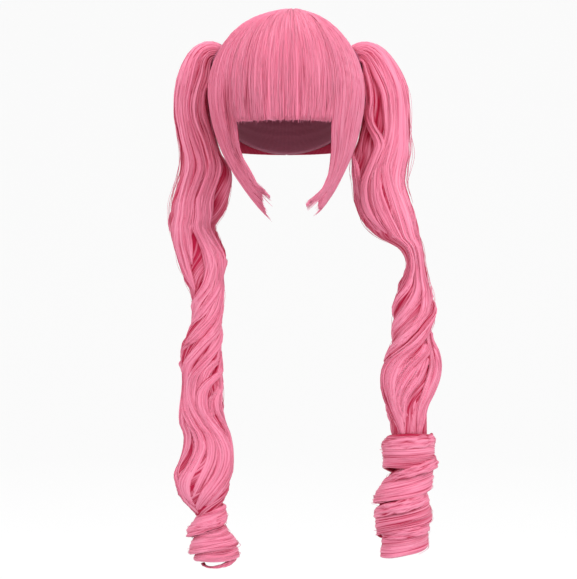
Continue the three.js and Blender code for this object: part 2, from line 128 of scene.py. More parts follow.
# The pigtails, from the tie down. down counts along the pigtail and is the drop below the tie, as a share of
# the pigtail's length, once the hair hangs. out, sway and the two widths are shares of the pigtail's width;
# turn is in whole turns and tilt, of the section, in degrees.
LEFT_PIGTAIL = [
    # down, drop, out, sway, wide, deep, turn, tilt
    (-0.08, -0.003, -0.42, 0.68, 0.36, 0.36, 0.0, 115),
    (-0.055, -0.011, -0.28, 0.69, 0.42, 0.44, 0.0, 103),
    (-0.02, -0.008, -0.1, 0.69, 0.56, 0.56, 0.0, 68),
    (0.015, 0.012, 0.07, 0.69, 0.74, 0.7, 0.0, 34),
    (0.055, 0.055, 0.25, 0.69, 0.92, 0.84, -0.01, 10),
    (0.108, 0.108, 0.29, 0.68, 0.96, 0.86, -0.02, 0),
    (0.153, 0.153, 0.25, 0.64, 1.05, 0.86, -0.03, 0),
    (0.188, 0.188, 0.19, 0.6, 1.17, 0.88, -0.02, 0),
    (0.223, 0.223, 0.14, 0.55, 1.17, 0.9, -0.04, 0),
    (0.25, 0.25, 0.15, 0.5, 1.13, 0.9, -0.07, 0),
    (0.288, 0.288, 0.23, 0.46, 1.22, 0.88, -0.11, 0),
    (0.325, 0.325, 0.36, 0.44, 1.15, 0.86, -0.17, 0),
    (0.353, 0.353, 0.53, 0.44, 0.92, 0.84, -0.23, 0),
    (0.37, 0.37, 0.74, 0.44, 0.6, 0.8, -0.25, 0),
    (0.387, 0.387, 0.84, 0.45, 0.46, 0.76, -0.28, 0),
    (0.41, 0.41, 0.88, 0.45, 0.44, 0.74, -0.32, 0),
    (0.438, 0.438, 0.86, 0.44, 0.6, 0.76, -0.39, 0),
    (0.465, 0.465, 0.84, 0.41, 0.76, 0.8, -0.47, 0),
    (0.498, 0.498, 0.83, 0.38, 0.86, 0.82, -0.58, 0),
    (0.548, 0.548, 0.78, 0.37, 0.84, 0.84, -0.78, 0),
    (0.575, 0.575, 0.82, 0.38, 1.01, 0.88, -0.88, 0),
    (0.598, 0.598, 0.79, 0.39, 1.16, 0.92, -0.97, 0),
    (0.63, 0.63, 0.75, 0.39, 1.19, 0.94, -1.06, 0),
    (0.66, 0.66, 0.71, 0.37, 1.06, 0.92, -1.13, 0),
    (0.688, 0.688, 0.68, 0.35, 0.86, 0.84, -1.17, 0),
    (0.718, 0.718, 0.73, 0.35, 0.77, 0.78, -1.2, 0),
    (0.76, 0.76, 0.74, 0.36, 0.74, 0.72, -1.22, 0),
]

RIGHT_PIGTAIL = [
    (-0.08, -0.003, -0.42, 0.68, 0.36, 0.36, 0.0, 115),
    (-0.055, -0.011, -0.28, 0.69, 0.42, 0.44, 0.0, 103),
    (-0.02, -0.008, -0.12, 0.69, 0.54, 0.56, 0.0, 68),
    (0.015, 0.012, 0.03, 0.69, 0.66, 0.66, 0.0, 34),
    (0.055, 0.055, 0.16, 0.69, 0.73, 0.78, -0.01, 8),
    (0.108, 0.108, 0.18, 0.68, 0.74, 0.8, -0.02, 0),
    (0.147, 0.147, 0.11, 0.64, 0.76, 0.82, -0.03, 0),
    (0.183, 0.183, 0.01, 0.58, 0.83, 0.84, -0.02, 0),
    (0.225, 0.225, -0.09, 0.52, 1.08, 0.88, -0.03, 0),
    (0.28, 0.28, 0.02, 0.46, 1.18, 0.9, -0.1, 0),
    (0.307, 0.307, 0.08, 0.44, 1.12, 0.88, -0.13, 0),
    (0.333, 0.333, 0.17, 0.43, 0.97, 0.86, -0.18, 0),
    (0.36, 0.36, 0.1, 0.43, 1.03, 0.84, -0.23, 0),
    (0.393, 0.393, -0.02, 0.42, 1.04, 0.82, -0.3, 0),
    (0.432, 0.432, -0.04, 0.4, 0.83, 0.78, -0.42, 0),
    (0.467, 0.467, -0.11, 0.37, 0.72, 0.72, -0.52, 0),
    (0.508, 0.508, -0.13, 0.34, 0.58, 0.66, -0.64, 0),
    (0.542, 0.542, -0.06, 0.33, 0.73, 0.7, -0.74, 0),
    (0.592, 0.592, 0.02, 0.34, 0.83, 0.76, -0.84, 0),
    (0.647, 0.647, -0.03, 0.37, 0.8, 0.78, -0.9, 0),
    (0.712, 0.712, -0.01, 0.36, 0.93, 0.84, -0.77, 0),
    (0.74, 0.74, -0.11, 0.33, 0.91, 0.86, -0.68, 0),
    (0.767, 0.767, -0.14, 0.3, 0.97, 0.88, -0.63, 0),
    (0.792, 0.792, -0.12, 0.28, 1.06, 0.92, -0.65, 0),
    (0.825, 0.825, -0.04, 0.27, 1.17, 0.98, -0.76, 0),
    (0.862, 0.862, -0.04, 0.29, 1.02, 0.94, -0.97, 0),
    (0.888, 0.888, -0.1, 0.31, 0.68, 0.72, -1.14, 0),
    (0.91, 0.91, -0.17, 0.32, 0.52, 0.54, -1.3, 0),
    (0.94, 0.94, -0.2, 0.32, 0.34, 0.36, -1.4, 0),
]

# The locks on the front of the pigtails, each with how far it stands out, in mm, and its path: down, place
# round the pigtail in turns, from 0 at its left over -0.25 at its front to -0.5 at its right, and width, in
# mm.
LEFT_LOCKS = [
    (-0.4, [(-0.078, -0.04, 8), (-0.05, -0.04, 10), (0, -0.08, 14), (0.047, -0.12, 23), (0.086, -0.11, 25),
            (0.125, -0.12, 23), (0.164, -0.11, 24), (0.203, -0.12, 23), (0.242, -0.13, 22),
            (0.282, -0.13, 22), (0.321, -0.12, 22), (0.36, -0.14, 17), (0.389, -0.17, 12),
            (0.418, -0.17, 12), (0.454, -0.14, 17), (0.485, -0.15, 18), (0.508, -0.18, 17),
            (0.532, -0.25, 17), (0.553, -0.34, 21), (0.573, -0.45, 25), (0.59, -0.5, 16),
            (0.608, -0.58, 16), (0.625, -0.68, 16)]),
    (-1.0, [(-0.078, -0.14, 7), (-0.05, -0.14, 9), (0, -0.18, 11), (0.047, -0.2, 15), (0.086, -0.19, 16),
            (0.125, -0.19, 16), (0.154, -0.19, 16), (0.184, -0.2, 15), (0.213, -0.21, 14),
            (0.242, -0.2, 15), (0.282, -0.19, 17), (0.321, -0.19, 17), (0.36, -0.21, 12),
            (0.389, -0.26, 9), (0.418, -0.25, 9), (0.45, -0.23, 13), (0.475, -0.26, 16),
            (0.499, -0.32, 19), (0.52, -0.4, 25), (0.542, -0.5, 16), (0.56, -0.58, 16),
            (0.577, -0.68, 16)]),
    (0.0, [(-0.078, -0.24, 6), (-0.05, -0.24, 8), (0, -0.27, 9), (0.037, -0.27, 13), (0.076, -0.25, 13),
           (0.115, -0.24, 13), (0.145, -0.23, 12), (0.176, -0.24, 12), (0.203, -0.26, 13),
           (0.233, -0.27, 13), (0.262, -0.28, 13), (0.291, -0.28, 15), (0.321, -0.27, 15),
           (0.35, -0.27, 12), (0.379, -0.31, 8), (0.409, -0.34, 9), (0.434, -0.33, 12), (0.457, -0.37, 18),
           (0.481, -0.46, 21), (0.5, -0.5, 13), (0.518, -0.58, 13), (0.535, -0.68, 13)]),
    (1.6, [(-0.078, -0.36, 5), (-0.05, -0.36, 7), (0, -0.36, 8), (0.047, -0.37, 14), (0.082, -0.37, 14),
           (0.109, -0.39, 17), (0.133, -0.35, 14), (0.154, -0.3, 14), (0.174, -0.27, 13),
           (0.196, -0.28, 13), (0.223, -0.3, 14), (0.25, -0.33, 16), (0.278, -0.34, 17),
           (0.305, -0.34, 17), (0.33, -0.33, 13), (0.354, -0.31, 10)]),
    (-1.6, [(0.16, -0.62, 8), (0.182, -0.52, 12), (0.207, -0.44, 17), (0.233, -0.42, 19),
            (0.262, -0.42, 21), (0.291, -0.4, 21), (0.317, -0.38, 18), (0.338, -0.37, 13),
            (0.356, -0.37, 9)]),
    (0.8, [(0.528, -0.11, 10), (0.547, -0.08, 15), (0.567, -0.09, 21), (0.587, -0.09, 25),
           (0.608, -0.08, 28), (0.633, -0.09, 28), (0.663, -0.1, 25), (0.692, -0.11, 20),
           (0.719, -0.15, 14), (0.755, -0.17, 12)]),
    (0.8, [(0.462, 0.16, 16), (0.479, 0.08, 16), (0.497, 0, 16), (0.52, -0.1, 21), (0.543, -0.16, 22),
           (0.567, -0.27, 22), (0.59, -0.35, 30), (0.614, -0.39, 40), (0.641, -0.4, 38),
           (0.669, -0.39, 34), (0.694, -0.37, 23), (0.719, -0.35, 18), (0.755, -0.31, 13)]),
    (0.2, [(0.555, -0.12, 15), (0.579, -0.18, 17), (0.602, -0.24, 20), (0.626, -0.28, 20),
           (0.649, -0.31, 18), (0.673, -0.33, 16), (0.698, -0.32, 13), (0.727, -0.31, 10)]),
    (-0.8, [(0.587, -0.17, 14), (0.614, -0.2, 15), (0.641, -0.23, 15), (0.667, -0.27, 13),
            (0.692, -0.29, 11), (0.719, -0.3, 8)]),
    (-2.6, [(0.669, -0.18, 10), (0.702, -0.2, 8), (0.731, -0.22, 8), (0.755, -0.23, 8)]),
    (-2.0, [(0.43, 0.16, 13), (0.447, 0.08, 13), (0.465, 0, 13), (0.497, -0.18, 14), (0.52, -0.25, 16),
            (0.543, -0.32, 18), (0.563, -0.42, 23), (0.581, -0.5, 13), (0.599, -0.58, 13),
            (0.616, -0.68, 13)]),
    (-2.8, [(0.665, -0.23, 8), (0.696, -0.25, 8), (0.725, -0.26, 7), (0.755, -0.27, 7)]),
]

RIGHT_LOCKS = [
    (0.3, [(-0.078, -0.47, 8), (-0.05, -0.47, 10), (0, -0.42, 13), (0.047, -0.37, 18), (0.086, -0.38, 20),
           (0.125, -0.37, 18), (0.164, -0.37, 16), (0.203, -0.35, 14), (0.242, -0.36, 15),
           (0.282, -0.36, 17), (0.336, -0.36, 19), (0.379, -0.4, 23), (0.418, -0.4, 21),
           (0.446, -0.37, 15), (0.469, -0.38, 10)]),
    (-0.8, [(-0.078, -0.36, 7), (-0.05, -0.36, 9), (0, -0.32, 10), (0.047, -0.28, 12), (0.086, -0.3, 12),
            (0.125, -0.29, 12), (0.164, -0.28, 12), (0.203, -0.27, 12), (0.242, -0.29, 12),
            (0.282, -0.3, 12), (0.321, -0.29, 11), (0.36, -0.3, 11), (0.395, -0.33, 9), (0.428, -0.32, 6)]),
    (0.5, [(-0.078, -0.26, 7), (-0.05, -0.26, 9), (0, -0.23, 9), (0.037, -0.2, 11), (0.086, -0.23, 12),
           (0.125, -0.23, 12), (0.164, -0.21, 13), (0.203, -0.22, 13), (0.242, -0.24, 14),
           (0.282, -0.25, 14), (0.321, -0.22, 15), (0.36, -0.2, 14), (0.395, -0.2, 15), (0.422, -0.18, 17),
           (0.448, -0.22, 17), (0.471, -0.31, 18), (0.493, -0.44, 25), (0.512, -0.5, 16),
           (0.53, -0.58, 16), (0.547, -0.68, 16)]),
    (-0.5, [(-0.078, -0.16, 6), (-0.05, -0.16, 8), (0, -0.14, 8), (0.037, -0.12, 13), (0.066, -0.15, 13),
            (0.106, -0.15, 13), (0.145, -0.12, 15), (0.184, -0.14, 15), (0.223, -0.18, 15),
            (0.262, -0.2, 14), (0.301, -0.2, 13), (0.336, -0.14, 16), (0.37, -0.13, 18), (0.403, -0.1, 23),
            (0.434, -0.07, 23), (0.461, -0.15, 20), (0.485, -0.24, 17), (0.508, -0.36, 22),
            (0.53, -0.5, 16), (0.548, -0.58, 16), (0.565, -0.68, 16)]),
    (-1.4, [(0.379, 0.16, 16), (0.396, 0.08, 16), (0.414, 0, 16), (0.442, -0.02, 19), (0.469, -0.09, 21),
            (0.493, -0.12, 22), (0.514, -0.19, 18), (0.536, -0.27, 17), (0.557, -0.35, 20),
            (0.579, -0.5, 16), (0.597, -0.58, 16), (0.614, -0.68, 16)]),
    (0.2, [(0.462, 0.16, 13), (0.479, 0.08, 13), (0.497, 0, 13), (0.52, -0.06, 19), (0.542, -0.14, 21),
           (0.563, -0.22, 17), (0.585, -0.29, 18), (0.606, -0.36, 20), (0.633, -0.41, 23),
           (0.665, -0.42, 23), (0.692, -0.37, 20), (0.716, -0.32, 17), (0.739, -0.31, 17),
           (0.762, -0.3, 17), (0.786, -0.32, 17), (0.813, -0.34, 19), (0.841, -0.37, 21),
           (0.868, -0.36, 19), (0.893, -0.37, 14)]),
    (-0.6, [(0.508, 0.16, 14), (0.525, 0.08, 14), (0.543, 0, 14), (0.567, -0.07, 23), (0.588, -0.17, 19),
            (0.608, -0.25, 17), (0.63, -0.33, 19), (0.653, -0.36, 20), (0.676, -0.33, 18),
            (0.698, -0.28, 16), (0.721, -0.24, 17), (0.747, -0.21, 19), (0.772, -0.21, 19),
            (0.798, -0.22, 19), (0.825, -0.24, 18), (0.852, -0.28, 19), (0.88, -0.36, 17)]),
    (0.9, [(0.559, 0.16, 16), (0.576, 0.08, 16), (0.594, 0, 16), (0.618, -0.04, 23), (0.635, -0.17, 18),
           (0.653, -0.24, 16), (0.673, -0.25, 16), (0.694, -0.23, 16), (0.716, -0.18, 19),
           (0.739, -0.15, 23), (0.764, -0.12, 27), (0.79, -0.12, 28), (0.817, -0.14, 26),
           (0.843, -0.19, 23), (0.868, -0.25, 20), (0.891, -0.35, 20)]),
    (-0.2, [(0.606, 0.16, 13), (0.623, 0.08, 13), (0.641, 0, 13), (0.665, -0.09, 17), (0.692, -0.09, 19),
            (0.719, -0.02, 21), (0.751, -0, 21), (0.782, -0.03, 23), (0.813, -0.06, 25),
            (0.841, -0.12, 24), (0.864, -0.18, 19), (0.891, -0.26, 13)]),
    (-1.8, [(0.528, 0.16, 14), (0.545, 0.08, 14), (0.563, 0, 14), (0.588, -0, 25), (0.61, -0.16, 20),
            (0.633, -0.23, 17), (0.657, -0.27, 16), (0.682, -0.24, 13)]),
    (-1.8, [(0.587, 0.16, 12), (0.604, 0.08, 12), (0.622, 0, 12), (0.645, -0.04, 17), (0.669, -0.16, 13),
            (0.692, -0.17, 12), (0.716, -0.14, 14)]),
    (-0.7, [(0.619, -0.62, 16), (0.634, -0.56, 16), (0.649, -0.5, 16), (0.676, -0.45, 21),
            (0.708, -0.42, 21), (0.739, -0.43, 21), (0.77, -0.45, 21), (0.802, -0.5, 21),
            (0.829, -0.43, 21), (0.856, -0.4, 21), (0.884, -0.4, 19), (0.903, -0.37, 11)]),
]

# The windings of the rolled ends: turns, and in mm the drop of the band's middle below the top of the roll,
# half its width, how far its lower edge stands out, and its reach outside the roll.
LEFT_WINDINGS = [
    (0.0, 15, 12, 1.0, -2.0), (0.25, 15, 16, 1.5, 0.5), (0.5, 17, 18, 2.0, 0.0), (0.75, 20, 19, 2.5, 0.5),
    (1.0, 33, 19, 3.0, -1.0), (1.25, 41, 19, 4.5, 1.5), (1.5, 52, 20, 4.0, -0.5), (1.75, 63, 19, 5.5, 1.5),
    (2.0, 71, 18, 3.0, -1.0), (2.25, 79, 19, 4.5, 1.5), (2.5, 90, 20, 3.0, 0.0), (2.75, 100, 19, 4.5, 2.5),
    (3.0, 108, 19, 2.5, -0.5), (3.25, 114, 18, 4.0, 1.0), (3.5, 123, 19, 3.0, 0.0), (3.75, 128, 18, 3.0, 0.5),
    (4.0, 130, 13, 2.0, -1.5),
]
RIGHT_WINDINGS = [
    (0.1, -13, 7, 0.0, -2.0), (0.25, -9, 10, 1.0, 0.0), (0.5, -1, 12, 2.0, 0.0), (0.75, 8, 12, 5.0, 2.0),
    (1.0, 12, 12, 3.0, -1.0), (1.25, 17, 12, 5.0, 2.0), (1.5, 22, 12, 4.0, 0.0), (1.75, 28, 12, 5.5, 2.0),
    (2.0, 32, 11, 3.0, -1.0), (2.25, 33, 11, 4.5, 3.0), (2.5, 38, 9, 3.5, 0.5), (2.75, 41, 8, 3.0, -0.5),
    (3.0, 43, 6, 2.0, -2.0),
]

# Folds that lie over the windings, and the last lock's loop below the right ringlet, in the same columns.
LEFT_FOLDS = [
    [(1.1, 26, 4, 0.0, 0.0), (1.22, 29, 7, 2.0, 4.0), (1.38, 35, 7, 3.0, 4.5), (1.52, 43, 6, 2.0, 3.0),
     (1.66, 50, 4, 0.0, 0.5)],
    [(0.2, 3, 5, 0.0, 0.5), (0.35, 5, 7, 1.0, 3.0), (0.55, 8, 7, 1.0, 2.5), (0.8, 14, 5, 0.0, 1.0)],
    [(2.3, 70, 5, 0.0, 1.0), (2.45, 77, 8, 2.0, 4.0), (2.62, 86, 8, 2.0, 4.5), (2.8, 95, 5, 0.0, 2.0)],
    [(3.2, 104, 4, 0.0, 1.0), (3.35, 109, 6, 2.0, 3.5), (3.55, 115, 6, 1.0, 3.0), (3.75, 119, 4, 0.0, 0.5)],
]
RIGHT_FOLDS = [
    [(0.22, -8, 3, 0.0, 1.0), (0.4, -1, 5, 1.0, 3.0), (0.6, 6, 5, 2.0, 3.0), (0.78, 12, 4, 0.0, 2.0)],
    [(2.2, 41, 4, 0.0, 3.0), (2.32, 48, 4, 0.0, 2.5), (2.42, 52, 2.4, 0.0, 0.5), (2.52, 54, 1.4, 0.0, -2.0),
     (2.64, 53, 0.9, 0.0, -4.0), (2.74, 50, 0.4, 0.0, -6.0)],
]

# The rolls that the windings follow: share along, out, sway and width, as in the pigtails.
LEFT_ROLL = [
    (0.0, 0.73, 0.36, 0.98), (0.07, 0.71, 0.36, 1.04), (0.25, 0.73, 0.36, 0.97), (0.36, 0.68, 0.35, 0.88),
    (0.45, 0.62, 0.34, 0.96), (0.6, 0.6, 0.34, 1.04), (0.71, 0.61, 0.34, 1.0), (0.83, 0.63, 0.35, 0.9),
    (1.0, 0.6, 0.35, 0.83),
]
RIGHT_ROLL = [
    (0.0, -0.17, 0.32, 0.66), (0.2, -0.16, 0.33, 0.76), (0.45, -0.23, 0.33, 0.8), (0.62, -0.25, 0.33, 0.84),
    (0.8, -0.26, 0.33, 0.78), (1.0, -0.27, 0.33, 0.7),
]


class WIG_PG_sizes(bpy.types.PropertyGroup):
    """Lengths of the wig."""

    head_width: bpy.props.FloatProperty(
        name="Head width",
        description="Of the hollow for the head",
        default=0.158,
        unit="LENGTH",
    )
    head_length: bpy.props.FloatProperty(
        name="Head length",
        description="Of the hollow for the head",
        default=0.196,
        unit="LENGTH",
    )
    dome: bpy.props.FloatProperty(
        name="Dome",
        description="From the top of the head down to its widest level",
        default=0.085,
        unit="LENGTH",
    )
    hair_top: bpy.props.FloatProperty(
        name="Hair top",
        description="Height of the combed hair over the hollow",
        default=0.0138,
        unit="LENGTH",
    )
    hair_under: bpy.props.FloatProperty(
        name="Hair underside",
        description="Height of its underside over the hollow",
        default=0.0035,
        unit="LENGTH",
    )
    fringe_hem: bpy.props.FloatProperty(
        name="Fringe",
        description="How far its cut edge lies below the top of the head",
        default=0.123,
        unit="LENGTH",
    )
    nape_hem: bpy.props.FloatProperty(
        name="Nape",
        description="How far the back hair reaches below the top of the head",
        default=0.15,
        unit="LENGTH",
    )
    tie_drop: bpy.props.FloatProperty(
        name="Tie level",
        description="Below the top of the head",
        default=0.04,
        unit="LENGTH",
    )
    tie_core: bpy.props.FloatProperty(
        name="Tie hole",
        description="Radius of the hair inside a tie",
        default=0.011,
        unit="LENGTH",
    )
    tie_thickness: bpy.props.FloatProperty(
        name="Tie thickness",
        description="Of the wound elastic",
        default=0.007,
        unit="LENGTH",
    )
    pigtail_length: bpy.props.FloatProperty(
        name="Pigtail length",
        description="From the level of the tie to the tip",
        default=0.6,
        unit="LENGTH",
    )
    pigtail_width: bpy.props.FloatProperty(
        name="Pigtail width",
        description="The unit of the pigtail tables",
        default=0.06,
        unit="LENGTH",
    )
    plumb_out: bpy.props.FloatProperty(
        name="Plumb line",
        description="How far a pigtail hangs outside its tie",
        default=0.0276,
        unit="LENGTH",
    )
    strand: bpy.props.FloatProperty(
        name="Strand",
        description="Thickness of a clump of fibres that shows as one line",
        default=0.0009,
        unit="LENGTH",
    )


class WIG_PG_colours(bpy.types.PropertyGroup):
    """Colours of the wig, as sRGB hex values."""

    light: bpy.props.StringProperty(
        name="Light fibre", description="Colour of the lit fibres", default="#fdabc3"
    )
    middle: bpy.props.StringProperty(
        name="Fibre", description="Main colour of the fibre", default="#f383a4"
    )
    # the deep colour serves the fibre's darkest lines and the painted shade between the locks, in recesses
    # and under the hair
    deep: bpy.props.StringProperty(
        name="Deep fibre", description="Colour between the locks", default="#b3163e"
    )
    net: bpy.props.StringProperty(
        name="Net", description="Colour of the cap", default="#d9849f"
    )
    tie: bpy.props.StringProperty(
        name="Tie", description="Colour of the wound elastic", default="#c64a78"
    )
    floor: bpy.props.StringProperty(
        name="Floor", description="Colour of the studio floor", default="#9b9b9b"
    )
    backdrop: bpy.props.StringProperty(
        name="Glow", description="Glow of the floor paper", default="#f6f6f6"
    )


def sizes():
    return bpy.context.scene.wig_sizes


def linear(hexa):
    """An sRGB hex colour as linear red, green, blue and alpha."""
    parts = [int(hexa[i : i + 2], 16) / 255 for i in (1, 3, 5)]
    return tuple(c / 12.92 if c <= 0.04045 else ((c + 0.055) / 1.055) ** 2.4 for c in parts) + (1.0,)


def add_node(tree, kind, inputs=None, **settings):
    """A node with its settings, and its inputs set to values or linked to sockets."""
    node = tree.nodes.new(kind)
    for name, value in settings.items():
        setattr(node, name, value)
    for name, value in (inputs or {}).items():
        if isinstance(value, bpy.types.NodeSocket):
            tree.links.new(value, node.inputs[name])
        else:
            node.inputs[name].default_value = value
    return node


# Form of the head and of the hair on it


def head_point(azimuth, fall, lift):
    """Places over the hollow for the head, at some lift. azimuth is in degrees from the front, and fall 0 at
    the top and 1 at the widest level."""
    s = sizes()
    below = np.maximum(0.0, fall - 1)
    polar = np.minimum(1.0, fall) * math.pi / 2
    side = (s.head_width / 2 + lift) * np.sin(polar) * (1 - SIDE_TUCK * below**2)
    front = (s.head_length / 2 + lift) * np.sin(polar) * (1 - FRONT_TUCK * below**2)
    z = -s.dome + (s.dome + lift) * np.cos(polar) - below * s.dome
    turn = np.radians(azimuth)
    shift = WHORL_SHIFT * np.clip(1 - fall / 0.6, 0, 1) ** 2
    return np.stack(np.broadcast_arrays(side * np.sin(turn) + shift, -front * np.cos(turn), z), -1)


def fall_at(drop, lift):
    """The fall at which a surface at some lift lies drop below the top of the head."""
    s = sizes()
    height = np.clip((s.dome - drop) / (s.dome + lift), 0, 1)
    return np.where(drop >= s.dome, drop / s.dome, np.arccos(height) / (math.pi / 2))


def ease(low, high, value):
    """0 up to low, 1 from high, smooth between."""
    t = np.clip((value - low) / (high - low), 0, 1)
    return t * t * (3 - 2 * t)


def curve(values, at):
    """A smooth curve through a table's values, read at fractions of a row."""
    values = np.asarray(values, float)
    last = len(values) - 1
    low = np.clip(np.floor(at).astype(int), 0, last - 1)
    t = at - low
    a, b, c, d = (values[np.clip(low + k, 0, last)] for k in (-1, 0, 1, 2))
    bend = (2 * a - 5 * b + 4 * c - d) * t**2 + (3 * b - a - 3 * c + d) * t**3
    return b + ((c - a) * t + bend) / 2


def read(rows, at):
    """A table of (place, value) rows, read at a place."""
    places, values = zip(*rows)
    return curve(values, np.interp(at, places, range(len(places))))


def read_columns(rows, at):
    """Every column of a table, read at fractions of a row."""
    return (curve(column, at) for column in zip(*rows))


def streaks(across, along, count, rows, seed, wraps=False):
    """Long soft noise that follows the strands, from -0.5 to 0.5. across and along run from 0 to 1."""
    table = np.random.default_rng(seed).random((rows + 2, count + 1)) - 0.5
    if wraps:
        table[:, count] = table[:, 0]
    a = np.clip(across, 0, 1) * (count - 1e-9)
    b = np.clip(along, 0, 1) * rows
    i, j = np.floor(a).astype(int), np.floor(b).astype(int)
    p, q = a - i, b - j
    p, q = p * p * (3 - 2 * p), q * q * (3 - 2 * q)
    upper = table[j, i] * (1 - p) + table[j, i + 1] * p
    lower = table[j + 1, i] * (1 - p) + table[j + 1, i + 1] * p
    return upper * (1 - q) + lower * q


# Meshes


def finish_piece(piece, material, node=None):
    """Gives a piece its material and its body, and hides the CAD node that it stands for."""
    piece.data.materials.append(material)
    if node:
        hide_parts(node)
    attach(piece, "root")


def finish_hair(piece, node=None):
    finish_piece(piece, fibre(), node)


def new_object(name, data):
    """An object at the origin, in the scene."""
    piece = bpy.data.objects.new(name, data)
    bpy.context.scene.collection.objects.link(piece)
    return piece


def combed_skin(columns, rows, place, across, along, lane=0.0):
    """A skin from a grid. place(i, j) gives the points and their painted shade between the locks, for column
    i and row j. across and along, in metres, are its size on the map that the fibre's lines follow, from lane
    on."""
    grid = bmesh.new()
    bmesh.ops.create_grid(grid, x_segments=columns, y_segments=rows, size=1)
    mesh = bpy.data.meshes.new("skin")
    grid.to_mesh(mesh)
    grid.free()
    flat = np.empty(len(mesh.vertices) * 3)
    mesh.vertices.foreach_get("co", flat)
    u, v = (flat.reshape(-1, 3)[:, :2].T + 1) / 2
    points, painted_shade = place(np.rint(u * columns), np.rint(v * rows))
    mesh.vertices.foreach_set("co", points.ravel())
    corners = np.empty(len(mesh.loops), np.int32)
    mesh.loops.foreach_get("vertex_index", corners)
    comb = mesh.uv_layers.new(name="comb")
    comb.data.foreach_set("uv", np.stack([lane + u[corners] * across, v[corners] * along], 1).ravel())
    shade = (painted_shade + np.zeros(len(u))).astype(np.float32)
    mesh.attributes.new("painted_shade", "FLOAT", "POINT").data.foreach_set("value", shade)
    return mesh


def combed_piece(name, skins):
    """One piece from its skins, with the seams and ends of each closed and its faces turned out."""
    piece = bpy.data.meshes.new(name)
    whole = bmesh.new()
    for mesh in skins:
        whole.from_mesh(mesh)
        bpy.data.meshes.remove(mesh)
    bmesh.ops.remove_doubles(whole, verts=whole.verts, dist=2e-6)
    bmesh.ops.dissolve_degenerate(whole, dist=1e-7, edges=whole.edges)
    bmesh.ops.holes_fill(whole, edges=[edge for edge in whole.edges if edge.is_boundary], sides=8)
    bmesh.ops.recalc_face_normals(whole, faces=whole.faces)
    for face in whole.faces:
        face.smooth = True
    whole.to_mesh(piece)
    whole.free()
    return new_object(name, piece)


def combed_sheet(name, columns, rows, place, across, along):
    return combed_piece(name, [combed_skin(columns, rows, place, across, along)])


def strand_mesh(name, paths, radius, seed, painted_shade=0.0):
    """Many thin strands as one mesh. paths is strands by points by 3, and painted_shade is the painted shade
    that they take from the locks they lie between, point by point. Each strand is three-sided and tapers."""
    count, steps, _ = paths.shape
    rng = np.random.default_rng(seed)
    ahead = np.gradient(paths, axis=1)
    ahead /= np.linalg.norm(ahead, axis=2, keepdims=True) + 1e-12
    # the axis that a strand never runs along keeps its three sides from twisting
    away = np.cross(ahead, np.eye(3)[np.abs(ahead).max(axis=1).argmin(axis=1)][:, None, :])
    away /= np.linalg.norm(away, axis=2, keepdims=True) + 1e-12
    beside = np.cross(ahead, away)
    share = np.linspace(0, 1, steps)
    taper = np.minimum(1, 12 * np.minimum(share + 0.03, 1.03 - share))[None, :, None]
    size = (radius * rng.uniform(0.7, 1.15, (count, 1, 1))) * taper
    thirds = (0, 2 * math.pi / 3, 4 * math.pi / 3)
    ring = [paths + size * (math.cos(t) * away + math.sin(t) * beside) for t in thirds]
    points = np.stack(ring, 2).reshape(-1, 3)
    base = (np.arange(count)[:, None, None] * steps + np.arange(steps - 1)[None, :, None]) * 3
    k = np.arange(3)[None, None, :]
    after = (k + 1) % 3
    quads = np.stack([base + k, base + after, base + 3 + after, base + 3 + k], -1).reshape(-1, 4)
    starts = np.arange(count)[:, None] * steps * 3
    heads = starts + np.array([2, 1, 0])
    tails = starts + (steps - 1) * 3 + np.array([0, 1, 2])
    corners = np.concatenate([quads.ravel(), heads.ravel(), tails.ravel()]).astype(np.int32)
    totals = np.concatenate([np.full(len(quads), 4), np.full(2 * count, 3)]).astype(np.int32)
    mesh = bpy.data.meshes.new(name)
    mesh.vertices.add(len(points))
    mesh.vertices.foreach_set("co", points.ravel())
    mesh.loops.add(len(corners))
    mesh.loops.foreach_set("vertex_index", corners)
    mesh.polygons.add(len(totals))
    mesh.polygons.foreach_set("loop_start", np.concatenate([[0], np.cumsum(totals)[:-1]]).astype(np.int32))
    mesh.polygons.foreach_set("loop_total", totals)
    mesh.update(calc_edges=True)
    mesh.validate()
    length = np.concatenate([[0], np.cumsum(np.linalg.norm(np.diff(paths.mean(0), axis=0), axis=1))])
    lane = rng.uniform(0, 3, count)
    u = np.repeat(lane, steps * 3)
    v = np.tile(np.repeat(length, 3), count)
    corners = np.empty(len(mesh.loops), np.int32)
    mesh.loops.foreach_get("vertex_index", corners)
    mesh.uv_layers.new(name="comb").data.foreach_set("uv", np.stack([u[corners], v[corners]], 1).ravel())
    shade = np.repeat((painted_shade + np.zeros((count, steps))).ravel(), 3).astype(np.float32)
    mesh.attributes.new("painted_shade", "FLOAT", "POINT").data.foreach_set("value", shade)
    mesh.shade_smooth()
    return new_object(name, mesh)


# Materials


def new_material(name):
    """A material without nodes, and its node tree."""
    material = bpy.data.materials.new(name)
    material.use_nodes = True
    material.node_tree.nodes.clear()
    return material, material.node_tree


